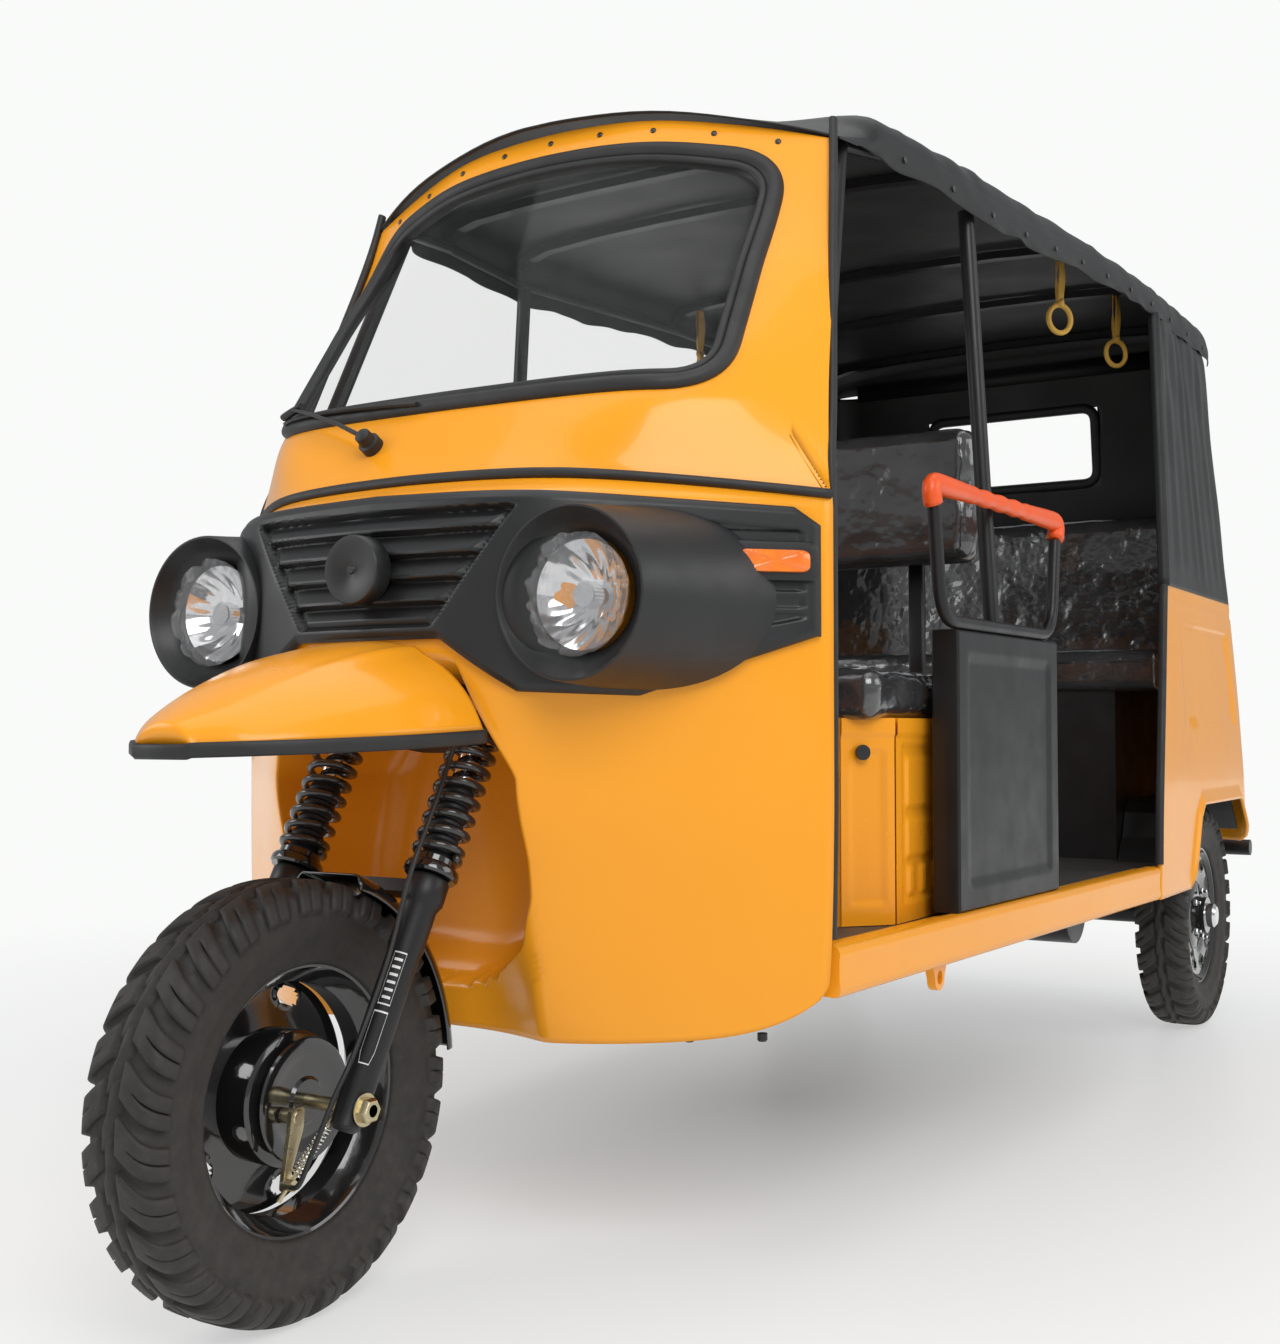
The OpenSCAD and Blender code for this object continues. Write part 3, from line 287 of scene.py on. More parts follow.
finish("webbing", (0.55, 0.32, 0.05), 0.68, shade=(0.45, 0.25, 0.035), patch=30.0, grain=900.0, depth=0.0006)
finish("spring_steel", (0.012, 0.012, 0.013), 0.24, shade=(0.03, 0.028, 0.026), patch=12.0, coat=0.5, grain=90.0,
       depth=0.0003)
finish("gold_steel", (0.62, 0.52, 0.30), 0.32, shade=(0.50, 0.44, 0.30), patch=30.0, metal=1.0, grain=400.0,
       depth=0.0002)
finish("chrome", (0.80, 0.80, 0.81), 0.10, shade=(0.70, 0.70, 0.71), patch=20.0, metal=1.0, grain=200.0, depth=0.00005)
finish("white_line", (0.72, 0.73, 0.72), 0.4, patch=40.0, grain=300.0, depth=0.0001)

# ---------------------------------------------------------------- making meshes


def placed(points):
    """Points whose stations run from the front axle, moved to the frame's origin."""
    return np.asarray(points, float) + (0, AXLE_Y, 0)


def weave(rows, cols, wrap_rows=False, wrap_cols=False, turn=False):
    """Four-sided faces between neighbours of a grid of rows x cols points; turn faces them the other way."""
    r, c = np.meshgrid(np.arange(rows if wrap_rows else rows - 1), np.arange(cols if wrap_cols else cols - 1),
                       indexing="ij")
    r, c = r.ravel(), c.ravel()
    r2, c2 = (r + 1) % rows, (c + 1) % cols
    quads = np.stack([r * cols + c, r * cols + c2, r2 * cols + c2, r2 * cols + c], 1)
    return quads[:, ::-1] if turn else quads


def piece(name, parts, look, body="root", node=None, slot=None, smooth=True, sharp=None):
    """One object from (points, faces) parts, or (points, faces, look) where a part has its own."""
    looks = []
    points, faces, kinds, start = [], [], [], 0
    for part in parts:
        own = part[2] if len(part) > 2 else look
        if own not in looks:
            looks.append(own)
        points.append(np.asarray(part[0], float).reshape(-1, 3))
        faces.extend([[int(i) + start for i in face] for face in part[1]])
        kinds.extend([looks.index(own)] * len(part[1]))
        start += len(points[-1])
    mesh = bpy.data.meshes.new(name)
    mesh.from_pydata(np.concatenate(points).tolist(), [], faces)
    mesh.polygons.foreach_set("material_index", kinds)
    mesh.polygons.foreach_set("use_smooth", [smooth] * len(faces))
    for own in looks:
        mesh.materials.append(LOOKS[own])
    if sharp is not None and smooth:
        mesh.set_sharp_from_angle(angle=math.radians(sharp))
    mesh.update()
    thing = bpy.data.objects.new(name, mesh)
    bpy.context.scene.collection.objects.link(thing)
    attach(thing, body)
    if node:
        nodes = [node] if isinstance(node, str) else node
        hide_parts(*nodes)
        slot = slot or next(p["material_slot"] for p in record["subparts"] if p["node"] == nodes[0])
    return thing


def bevelled(thing, width, segments=2):
    """Rounds the sharp edges of a piece."""
    soften = thing.modifiers.new("edges", "BEVEL")
    soften.width = width
    soften.segments = segments
    soften.limit_method = "ANGLE"
    soften.angle_limit = math.radians(35)
    soften.harden_normals = False
    return thing


def walled(thing, thick, offset=-1.0):
    """Gives a one-sided sheet its thickness, inwards from its own surface."""
    wall = thing.modifiers.new("wall", "SOLIDIFY")
    wall.thickness = thick
    wall.offset = offset
    return thing


def unit(v):
    """Vectors scaled to length one."""
    v = np.asarray(v, float)
    return v / np.linalg.norm(v, axis=-1, keepdims=True)


def hose(path, radius, sides=12, loop=False, caps=True, flat=1.0, up=(0, 0, 1)):
    """A round bar along a path: at each point a ring square to the path, radius wide and flat times as high."""
    path = np.asarray(path, float)
    ahead = np.roll(path, -1, 0) - np.roll(path, 1, 0) if loop else np.gradient(path, axis=0)
    ahead = unit(ahead)
    side = [unit(np.cross(ahead[0], up) + 1e-9)]
    for step in ahead[1:]:
        side.append(unit(side[-1] - step * np.dot(side[-1], step)))
    side = np.array(side)
    over = np.cross(ahead, side)
    angle = np.linspace(0, 2 * math.pi, sides, endpoint=False)
    radius = np.broadcast_to(np.asarray(radius, float), len(path))[:, None, None]
    ring = (np.cos(angle)[None, :, None] * side[:, None] + flat * np.sin(angle)[None, :, None] * over[:, None])
    points = (path[:, None] + radius * ring).reshape(-1, 3)
    faces = weave(len(path), sides, loop, True, turn=True).tolist()
    if caps and not loop:
        last = (len(path) - 1) * sides
        faces += [list(range(sides)), list(range(last + sides - 1, last - 1, -1))]
    return points, faces


def turned(profile, centre, axis=(1, 0, 0), sides=64, up=(0, 0, 1), loop=False):
    """A profile of (distance along the axis, radius) turned round the axis through centre."""
    axis = unit(axis)
    side = unit(np.cross(axis, up))
    over = np.cross(axis, side)
    angle = np.linspace(0, 2 * math.pi, sides, endpoint=False)
    spin = np.cos(angle)[:, None] * side + np.sin(angle)[:, None] * over
    profile = np.asarray(profile, float)
    points = (np.asarray(centre) + profile[:, 0, None, None] * axis + profile[:, 1, None, None] * spin).reshape(-1, 3)
    faces = weave(len(profile), sides, loop, True).tolist()
    if not loop:
        last = (len(profile) - 1) * sides
        faces += [list(range(sides - 1, -1, -1)), list(range(last, last + sides))]
    return points, faces


def slab(outline, low, high, plane="xz"):
    """A flat plate: a closed outline in one plane carried from low to high along the third axis."""
    outline = np.asarray(outline, float)
    first, second = ("xyz".index(c) for c in plane)
    third = 3 - first - second
    n = len(outline)
    points = np.zeros((2, n, 3))
    points[:, :, first], points[:, :, second] = outline[:, 0], outline[:, 1]
    points[0, :, third], points[1, :, third] = low, high
    area = np.sum(outline[:, 0] * np.roll(outline[:, 1], -1) - np.roll(outline[:, 0], -1) * outline[:, 1])
    forward = (area > 0) == ((second - first) % 3 == 1)
    ring, top = list(range(n)), list(range(n, 2 * n))
    sides = weave(2, n, False, True).tolist()
    if forward:
        return points.reshape(-1, 3), [ring[::-1], top] + sides
    return points.reshape(-1, 3), [ring, top[::-1]] + [f[::-1] for f in sides]


def brick(low, high):
    """A box between two corners."""
    return slab([(low[0], low[2]), (high[0], low[2]), (high[0], high[2]), (low[0], high[2])], low[1], high[1])


def eased(corners, radius, steps=6):
    """An outline whose corners are rounded by a curve that starts radius from each corner."""
    corners = np.asarray(corners, float)
    radius = np.broadcast_to(radius, len(corners))
    out = []
    for before, at, after, r in zip(np.roll(corners, 1, 0), corners, np.roll(corners, -1, 0), radius):
        a, b = at + r * unit(before - at), at + r * unit(after - at)
        t = np.linspace(0, 1, steps)[:, None]
        out.append((1 - t) ** 2 * a + 2 * t * (1 - t) * at + t ** 2 * b)
    return np.concatenate(out)


def bent(corners, radius, steps=6):
    """An open route whose inner corners are rounded like an outline's."""
    corners = np.asarray(corners, float)
    out = [corners[:1]]
    for before, at, after in zip(corners[:-2], corners[1:-1], corners[2:]):
        a, b = at + radius * unit(before - at), at + radius * unit(after - at)
        t = np.linspace(0, 1, steps)[:, None]
        out.append((1 - t) ** 2 * a + 2 * t * (1 - t) * at + t ** 2 * b)
    return np.concatenate(out + [corners[-1:]])


def flow(at, knots, values):
    """A smooth curve through values at knots that never overshoots them: cubic, with the harmonic mean slopes."""
    knots, values = np.asarray(knots, float), np.asarray(values, float)
    gap = np.diff(knots)
    rise = np.diff(values) / gap
    slope = np.zeros(len(knots))
    same = rise[:-1] * rise[1:] > 0
    slope[1:-1][same] = 2 * rise[:-1][same] * rise[1:][same] / (rise[:-1][same] + rise[1:][same])
    slope[0], slope[-1] = rise[0], rise[-1]
    i = np.clip(np.searchsorted(knots, at, side="right") - 1, 0, len(gap) - 1)
    t = (at - knots[i]) / gap[i]
    return ((1 + 2 * t) * (1 - t) ** 2 * values[i] + t * (1 - t) ** 2 * gap[i] * slope[i]
            + t * t * (3 - 2 * t) * values[i + 1] + t * t * (t - 1) * gap[i] * slope[i + 1])


def mirrored(part):
    """The same part on the other side of the vehicle."""
    return (np.asarray(part[0]) * (-1, 1, 1), [list(f)[::-1] for f in part[1]], *part[2:])


def both(parts):
    """Parts of the left side with their mirror images."""
    return [p for part in parts for p in (part, mirrored(part))]


def moved(part, by):
    """A part shifted by a vector."""
    return (np.asarray(part[0]) + by, *part[1:])


def ease(t):
    """A soft step from 0 to 1."""
    t = np.clip(t, 0, 1)
    return t * t * (3 - 2 * t)


# ---------------------------------------------------------------- front shell

# Sections: height, station at the middle, half width, station of the edge, flat share, droop of the edge
FRONT_SECTIONS = np.array([
    (0.315, 0.262, 0.522, 0.478, 0.45, 0.0),
    (0.345, 0.247, 0.532, 0.486, 0.42, 0.0),
    (0.520, 0.195, 0.538, 0.486, 0.32, 0.0),
    (0.670, 0.150, 0.540, 0.486, 0.30, 0.0),
    (0.790, 0.155, 0.540, 0.486, 0.38, 0.0),
    (0.950, 0.168, 0.540, 0.486, 0.45, 0.0),
    (1.040, 0.182, 0.540, 0.486, 0.48, 0.010),
    (1.080, 0.245, 0.538, 0.488, 0.50, 0.028),
    (1.198, 0.325, 0.519, 0.533, 0.66, 0.0),
    (1.400, 0.447, 0.486, 0.608, 0.62, 0.020),
    (1.600, 0.567, 0.456, 0.678, 0.45, 0.052),
    (1.690, 0.600, 0.446, 0.700, 0.40, 0.062)])
BELT_Z = 1.080
SHELL = 0.016


def section(z):
    """Middle station, half width, edge station, flat share and droop of the shell at a height."""
    return [flow(z, FRONT_SECTIONS[:, 0], FRONT_SECTIONS[:, k]) for k in range(1, 6)]


def front_y(x, z):
    """Station of the front shell: flat in the middle, then a straight cheek, with a soft bend between."""
    centre, half, edge, flat, droop = section(z)

    def ramp(t):
        return np.sqrt((t - flat) ** 2 + 0.0225) + t - flat

    share = (ramp(np.abs(x) / half) - ramp(0)) / (ramp(1) - ramp(0))
    return centre + (edge - centre) * share


def on_front(x, z, out=0.0):
    """Points on the shell at x and at the true height z, standing out from it by a distance.

    A section's edges droop, so the section that passes through z at x is found by stepping towards it."""
    x, z = np.broadcast_arrays(np.asarray(x, float), np.asarray(z, float))
    level = z.copy()
    for _ in range(4):
        _, half, _, _, droop = section(level)
        level = np.clip(z + droop * (x / half) ** 2, FRONT_SECTIONS[0, 0], FRONT_SECTIONS[-1, 0] + 0.02)
    step = 0.002
    y = front_y(x, level)
    across = (front_y(x + step, level) - y) / step
    upward = (front_y(x, level + step) - y) / step
    normal = unit(np.stack([across, -np.ones_like(y), upward], -1))
    return np.stack([x, y, z], -1) + normal * np.asarray(out)[..., None]


POCKET_HALF = 0.212
POCKET_TOP = 0.806
POCKET_FOOT_Y = 0.345


def cowl_grid(cols=145):
    """The lower shell: front surface from the foot to the belt, with the fork's pocket pressed in.

    The pocket is a scoop whose half width follows a U down to a lower lip. It runs out at its edge with the sixth
    power of the distance, the lip below is drawn back with the third, and both fade out at the roof."""
    z = np.concatenate([np.linspace(0.315, 0.80, 60), np.linspace(0.807, 1.03, 20), np.linspace(1.036, BELT_Z, 18)])
    z, u = np.meshgrid(z, np.linspace(-1, 1, cols), indexing="ij")
    centre, half, edge, flat, droop = section(z)
    wide = POCKET_HALF - np.clip(z - 0.67, 0, None) * 0.45
    knee = np.clip(np.where(z > 0.67, wide, np.interp(z, [0.396, 0.441, 0.508, 0.562, 0.615, 0.67],
                                                      [0.130, 0.188, 0.212, 0.215, 0.213, 0.212])), 0.13, None)
    inside = knee * (1 - np.clip(1 - np.abs(u) / 0.55, 0, 1) ** 1.6)
    x = np.sign(u) * (inside + (half - knee) * np.clip((np.abs(u) - 0.55) / 0.45, 0, 1))
    y = front_y(x, z)
    t = np.clip(np.abs(x) / wide, 0, 1)
    roof = ease((POCKET_TOP + 0.02 - z) / 0.045)
    y = y + np.clip((0.318 - y) * (1 - t ** 3), 0, None) * roof * ease((0.60 - z) / 0.25)
    scoop = np.where(z > 0.67, wide, np.interp(z, [0.372, 0.375, 0.381, 0.396, 0.441, 0.508, 0.562, 0.615, 0.67],
                                               [0.001, 0.020, 0.064, 0.117, 0.188, 0.212, 0.215, 0.213, 0.212]))
    t = np.clip(np.abs(x) / scoop, 0, 1)
    back = POCKET_FOOT_Y + (z - 0.315) * 0.14
    y = y + np.clip((back - y) * (1 - t ** 6), 0, None) * roof
    y = y + 0.028 * ease((z - 0.375) / 0.07) * ease((0.80 - z) / 0.1) * ease((1 - t) / 0.25)
    lift = 0.055 * np.clip((0.520 - z) / 0.205, 0, 1) * np.abs(x / half) ** 9
    return np.stack([x, y, z - droop * (x / half) ** 2 + lift], -1)


cowl_points = cowl_grid()
cowl = piece("cowl_shell", [(placed(cowl_points), weave(*cowl_points.shape[:2], turn=False))], "yellow_paint",
             node="cowl")
walled(cowl, 0.006)

# The windscreen's outline, in x and z: corners at the foot and the top, and a raised middle at the top
SCREEN_FOOT_HALF, SCREEN_TOP_HALF = 0.412, 0.386
SCREEN_FOOT, SCREEN_TOP, SCREEN_RISE = 1.198, 1.600, 0.045
GASKET_W = 0.028


def four_sides(foot_half, top_half, foot, top, rise, corner, inset=0.0, sag=0.0, n=40, m=14):
    """A closed outline of four sides with round corners, each side n points and each corner m.

    The top bows up by rise, the foot down by sag, and the whole is pulled in by inset."""
    foot_half, top_half, foot, top = foot_half - inset, top_half - inset, foot + inset, top - inset
    corner = max(corner - inset, 0.004)
    s = np.linspace(-1, 1, 201)
    bottom = np.stack([s * foot_half, foot + sag * s ** 2], 1)
    right = np.stack([foot_half + (top_half - foot_half) * (s + 1) / 2, foot + sag + (top - foot - sag) * (s + 1) / 2], 1)
    crown = np.stack([-s * top_half, top + rise * (1 - s ** 2)], 1)
    left = right[::-1] * (-1, 1)
    sides, out = [bottom, right, crown, left], []
    cut = []
    for line in sides:
        length = np.concatenate([[0], np.cumsum(np.linalg.norm(np.diff(line, axis=0), axis=1))])
        at = np.linspace(corner, length[-1] - corner, n)
        cut.append(np.stack([np.interp(at, length, line[:, k]) for k in (0, 1)], 1))
    for k, line in enumerate(cut):
        a, b, at = line[-1], cut[(k + 1) % 4][0], sides[k][-1]
        t = np.linspace(0, 1, m + 2)[1:-1, None]
        out += [line, (1 - t) ** 2 * a + 2 * t * (1 - t) * at + t ** 2 * b]
    return np.concatenate(out)


def screen_outline(inset):
    """The windscreen opening's outline, pulled in by inset."""
    return four_sides(SCREEN_FOOT_HALF, SCREEN_TOP_HALF, SCREEN_FOOT, SCREEN_TOP, SCREEN_RISE, 0.075, inset)


def upper_outline():
    """The upper shell's own edge: belt at the foot, pillars at the sides, brow at the top."""
    belt, brow = FRONT_SECTIONS[7], FRONT_SECTIONS[-1]
    return four_sides(belt[2], brow[2], belt[0] - belt[5], brow[0] - brow[5], brow[5], 0.005, sag=0.0)


def ring_on_front(inner, outer, rows, out):
    """A surface on the shell between two outlines with the same number of points.

    Row by row the outline moves straight from the inner to the outer one; out is the height of each row."""
    v = np.linspace(0, 1, rows)[:, None, None]
    flat = inner * (1 - v) + outer * v
    return on_front(flat[..., 0], flat[..., 1], np.broadcast_to(np.asarray(out)[:, None], flat.shape[:2]))


inner_edge, outer_edge = screen_outline(-0.001), upper_outline()
bow = outer_edge[:, 1] < BELT_Z
outer_edge[bow, 1] = BELT_Z + 0.0005 - FRONT_SECTIONS[7, 5] * (outer_edge[bow, 0] / FRONT_SECTIONS[7, 2]) ** 2
upper = ring_on_front(inner_edge, outer_edge, 46, np.zeros(46))
upper_shell = piece("windscreen_surround", [(placed(upper), weave(*upper.shape[:2], wrap_cols=True, turn=True))],
                    "yellow_paint", node="windscreen_frame")
walled(upper_shell, 0.006)


def lip(outline_at, insets, heights, name, look, node=None):
    """A moulded strip on the shell that follows an outline: one row for each inset, at its height."""
    rows = np.stack([on_front(*outline_at(i).T, out=np.full(len(outline_at(i)), h)) for i, h in zip(insets, heights)])
    return piece(name, [(placed(rows), weave(*rows.shape[:2], wrap_rows=True, wrap_cols=True, turn=False))], look,
                 node=node)


def gasket_profile(n=15):
    """Insets and heights of the gasket's section: a full round bead outside, a thin bead on the glass."""
    t = np.linspace(0, math.pi, n)
    inset = np.concatenate([0.008 - 0.011 * np.cos(t), 0.0225 - 0.0055 * np.cos(t)])
    height = np.concatenate([0.001 + 0.011 * np.sin(t), 0.001 + 0.006 * np.sin(t)])
    return np.concatenate([inset, [0.027, -0.002]]), np.concatenate([height, [-0.012, -0.012]])


lip(screen_outline, *gasket_profile(), "windscreen_rubber", "rubber", "windscreen_gasket")


def screen_glass(rows=20):
    """The bent pane: rings of the outline shrunk towards the middle, closed by one point."""
    edge = screen_outline(GASKET_W - 0.004)
    heart = edge.mean(0)
    v = np.linspace(0, 0.985, rows)[:, None, None]
    flat = edge * (1 - v) + heart * v
    pane = on_front(flat[..., 0], flat[..., 1], np.full(flat.shape[:2], -0.003))
    faces = weave(rows, len(edge), wrap_cols=True, turn=False).tolist()
    last = (rows - 1) * len(edge)
    return pane.reshape(-1, 3), faces + [list(range(last, last + len(edge)))]


points, faces = screen_glass()
pane = piece("windscreen_pane", [(placed(points), faces)], "glass", node="windscreen_glass")
walled(pane, 0.005)


def belt_line(s):
    """The joint between the two front shells; s runs from -1 to 1 across the front."""
    x = np.asarray(s, float) * FRONT_SECTIONS[7, 2]
    z = BELT_Z - FRONT_SECTIONS[7, 5] * (x / FRONT_SECTIONS[7, 2]) ** 2
    return x, z


x, z = belt_line(np.linspace(-0.998, 0.998, 121))
strip = np.stack([on_front(x, z + dz, out=h) for dz, h in (
    (-0.006, -0.001), (-0.0055, 0.006), (-0.002, 0.0095), (0.003, 0.0095), (0.006, 0.006), (0.006, -0.001))])
piece("belt_strip_rubber", [(placed(strip), weave(*strip.shape[:2], wrap_rows=True, turn=False).tolist()
      + [list(range(0, 6 * 121, 121)), list(range(5 * 121 + 120, 119, -121))])], "rubber", node="belt_strip")

# ---------------------------------------------------------------- black front panel with grille and lamps

LAMP_X, LAMP_Z, LAMP_R = 0.322, 0.905, 0.072
LAMP_Y = middle("headlamps")[1] - AXLE_Y - 0.028
PANEL_OUT = 0.0165
# Half outline in x and z, from the middle of the lower edge outwards and back along the top
PANEL_HALF = np.array([(0.0, 0.852), (0.122, 0.852), (0.222, 0.783), (0.345, 0.778), (0.522, 0.858), (0.526, 1.008),
                       (0.500, 1.032), (0.246, 1.042), (0.0, 1.046)])
GRILLE = np.array([(-0.112, 0.866), (0.112, 0.866), (0.226, 1.026), (-0.226, 1.026)])
CHEEK_RECESS = np.array([(0.415, 0.853), (0.508, 0.880), (0.508, 1.002), (0.400, 1.010)])


def inside(x, z, corners, soft):
    """How deep a point lies inside a convex outline that runs anticlockwise, as a share of the soft edge's width."""
    depth = np.full(np.shape(x), 1e9)
    for a, b in zip(corners, np.roll(corners, -1, 0)):
        d = unit(b - a)
        depth = np.minimum(depth, d[0] * (z - a[1]) - d[1] * (x - a[0]))
    return np.clip(depth / soft, 0, 1)


def panel_height(x, z):
    """Height of the panel over the shell: a step down to the grille with louvres, recessed ribbed cheeks,
    and a round rise to each lamp."""
    ax = np.abs(x)
    high = np.full(np.shape(x), PANEL_OUT)
    grille = inside(x, z, GRILLE, 0.006)
    slat = (z - 0.866) / 0.160 * 5
    wave = slat - np.floor(slat)
    louvre = np.interp(wave, [0, 0.10, 0.22, 0.72, 0.92, 1], [0.000, 0.013, 0.013, 0.004, 0.000, 0.000])
    high = high - ease(grille) * (0.014 - louvre * inside(x, z, GRILLE, 0.014))
    cheek = ease(inside(ax, z, CHEEK_RECESS, 0.005))
    rib = 0.003 * ease(1.5 * np.cos((z - 0.87) * 2 * math.pi / 0.022) - 0.1)
    window = ease(inside(ax, z, np.array([(0.425, 0.925), (0.512, 0.925), (0.512, 0.988), (0.425, 0.988)]), 0.004))
    high = high - cheek * (0.006 - rib * (1 - window))
    away = np.hypot(ax - LAMP_X, z - LAMP_Z)
    high = high + 0.010 * ease((LAMP_R + 0.050 - away) / 0.030)
    return high


def panel_grid(rows=120, cols=281):
    """The panel's face: for each x the height runs from the lower to the upper edge of the outline."""
    x = np.linspace(-0.526, 0.526, cols)
    low = np.interp(np.abs(x), PANEL_HALF[:5, 0], PANEL_HALF[:5, 1])
    low = np.where(np.abs(x) > 0.522, 0.858, low)
    top = np.interp(np.abs(x), PANEL_HALF[:4:-1, 0], PANEL_HALF[:4:-1, 1])
    v = np.linspace(0, 1, rows)[:, None]
    z = low + (top - low) * v
    x = np.broadcast_to(x, z.shape)
    edge = np.minimum(np.minimum(z - low, top - z), 0.526 - np.abs(x))
    out = panel_height(x, z) - 0.010 * (1 - np.sqrt(np.clip(edge / 0.010, 0, 1)))
    hole = np.hypot(np.abs(x) - LAMP_X, z - LAMP_Z) < LAMP_R + 0.012
    return on_front(x, z, out), hole


face, hole = panel_grid()
keep = np.array([not hole.ravel()[list(f)].all() for f in weave(*hole.shape)])
panel_faces = weave(*hole.shape, turn=False)[keep]


def lamp_pod(side):
    """The round pod of a headlamp: an outer cone from the panel to a rolled rim, and the bowl inside it."""
    spread = np.linspace(0, 2 * math.pi, 73)[:-1]
    rings = []
    for out, depth in ((0.046, None), (0.0405, -0.0255), (0.0395, -0.0285), (0.0370, -0.0285), (0.0345, -0.0250),
                       (0.0270, -0.0080), (0.0150, 0.0040), (0.0030, 0.0120), (0.0010, 0.0220)):
        radius = LAMP_R + out + (0.040 * np.clip(np.cos(spread), 0, 1) ** 1.5 if depth is None else 0)
        x, z = LAMP_X + radius * np.cos(spread), LAMP_Z + radius * np.sin(spread)
        base = on_front(np.minimum(x, 0.53), z, np.full(len(x), PANEL_OUT))
        if depth is None:
            ring = base - (0, 0.001, 0)
        else:
            y = np.minimum(LAMP_Y + depth, base[:, 1] + 0.004) if depth < -0.02 else LAMP_Y + depth + 0 * x
            ring = np.stack([x, y, z], -1)
        rings.append(ring)
    grid = np.stack(rings)
    part = (placed(grid), weave(*grid.shape[:2], wrap_cols=True, turn=True))
    return part if side > 0 else mirrored(part)


def emblem_disc():
    """The blank round disc on the grille, with a stepped rim and a dimple."""
    z = 0.947
    y = float(on_front(0.0, z, PANEL_OUT)[1])
    profile = [(0.0, 0.0475), (-0.025, 0.0470), (-0.0275, 0.0450), (-0.0275, 0.0125), (-0.0255, 0.0105), (-0.0255, 0.0065),
               (-0.0275, 0.0050), (-0.0275, 0.0005)]
    return turned([(-a, r) for a, r in profile][::-1], placed((0, y, z)), (0, -1, 0), 72)


front_panel = piece("front_panel", [(placed(face), panel_faces), lamp_pod(1), lamp_pod(-1), emblem_disc()],
                    "black_plastic", node="front_fascia", sharp=50)


def lamp_unit(side):
    """Reflector bowl, domed lens with flutes, and its bulb shield."""
    place = np.array([LAMP_X, LAMP_Y, LAMP_Z])
    spread = np.linspace(0, 2 * math.pi, 97)[:-1]
    bowl = []
    for t in np.linspace(0, 1, 12):
        facet = 1 + 0.02 * np.cos(16 * spread) * t * (1 - t) * 4
        r = (0.012 + (LAMP_R - 0.013) * t) * facet
        bowl.append(np.stack([r * np.cos(spread), 0.050 - 0.044 * t ** 2 + 0 * r, r * np.sin(spread)], -1))
    bowl = np.stack(bowl) + place
    dome = []
    for t in np.linspace(0.0, 1, 16):
        r = 0.0005 + (LAMP_R - 0.002) * t
        y = -0.016 * np.sqrt(np.clip(1 - 0.96 * t ** 2, 0, 1)) + 0.0015 * np.cos(18 * spread) * (t > 0.25) * (t < 0.93)
        dome.append(np.stack([r * np.cos(spread), y + 0.004, r * np.sin(spread)], -1))
    dome = np.stack(dome) + place
    shield = turned([(0.0, 0.001), (0.0, 0.016), (0.003, 0.018), (0.022, 0.018), (0.024, 0.014), (0.026, 0.001)],
                    placed(place + (0, 0.008, 0)), (0, 1, 0), 40)
    parts = [(placed(bowl), weave(12, 96, wrap_cols=True, turn=True), "chrome"),
             (placed(dome), np.concatenate([weave(16, 96, wrap_cols=True)]).tolist() + [list(range(95, -1, -1))], "lens"),
             (*shield, "chrome")]
    return parts if side > 0 else [mirrored(p) for p in parts]


piece("headlamp_units", lamp_unit(1) + lamp_unit(-1), "lens", node="headlamps", sharp=40)


def lamp_film(side, seed):
    """Clear wrapping left round a lamp: a disc over the lens whose rim stands out in creases.

    Its depth is a sum of a few ridged waves of the angle that grow towards the rim."""
    rng = np.random.default_rng(seed)
    spread = np.linspace(0, 2 * math.pi, 145)[:-1]
    rings = []
    crease = sum(a * np.abs(np.sin(n * spread / 2 + p)) for n, a, p in zip((7, 11, 17, 29), (0.5, 0.35, 0.25, 0.2),
                                                                      rng.uniform(0, 6, 4)))
    for t in np.linspace(0.02, 1, 26):
        r = (LAMP_R + 0.006) * t * (1 + 0.06 * (crease - 0.6) * ease((t - 0.7) / 0.3))
        fold = 0.010 * (crease - 0.7) * ease((t - 0.55) / 0.45)
        ripple = 0.0020 * np.sin(9 * t + 3 * np.sin(2 * spread + 5 * t) + seed) + 0.0014 * np.sin(23 * t + 5 * spread)
        rings.append(np.stack([r * np.cos(spread), -0.022 * np.sqrt(1 - 0.8 * t ** 2) - fold - ripple, r * np.sin(spread)], -1))
    grid = np.stack(rings) + (LAMP_X, LAMP_Y, LAMP_Z)
    part = (placed(grid), weave(26, 144, wrap_cols=True).tolist() + [list(range(143, -1, -1))])
    return part if side > 0 else mirrored(part)


# The headlamp film's pale colour is a painted sheen over the lamps, added to the light its gloss catches.
piece("headlamp_film", [lamp_film(1, 3), lamp_film(-1, 8)], "film", slot="lamp_clear")


def indicator(side):
    """Amber lamp on the cheek: black bezel and a ribbed lens that follows the panel."""
    parts = []
    for outline, low, high, look in (
            (eased([(0.428, 0.930), (0.520, 0.930), (0.520, 0.984), (0.428, 0.984)], 0.012), 0.010, 0.024, "black_plastic"),
            (eased([(0.440, 0.942), (0.510, 0.942), (0.510, 0.972), (0.440, 0.972)], 0.010), 0.020, 0.030, "lamp_amber")):
        heart = outline.mean(0)
        rows = [(0.0, low), (0.0, high - 0.003), (0.06, high), (0.35, high + 0.001), (0.7, high + 0.001), (0.97, high + 0.001)]
        grid = np.stack([on_front(*(outline * (1 - s) + heart * s).T, out=np.full(len(outline), h)) for s, h in rows])
        if look == "lamp_amber":
            grid[2:, :, 1] += 0.0012 * np.sin(grid[2:, :, 0] * 2 * math.pi / 0.006)
        last = 5 * len(outline)
        parts.append((placed(grid), weave(6, len(outline), wrap_cols=True, turn=False).tolist()
                      + [list(range(last, last + len(outline)))], look))
    return parts if side > 0 else [mirrored(p) for p in parts]


piece("indicator_lamps", indicator(1) + indicator(-1), "lamp_amber", node="indicators", sharp=40)

# ---------------------------------------------------------------- beak and wiper

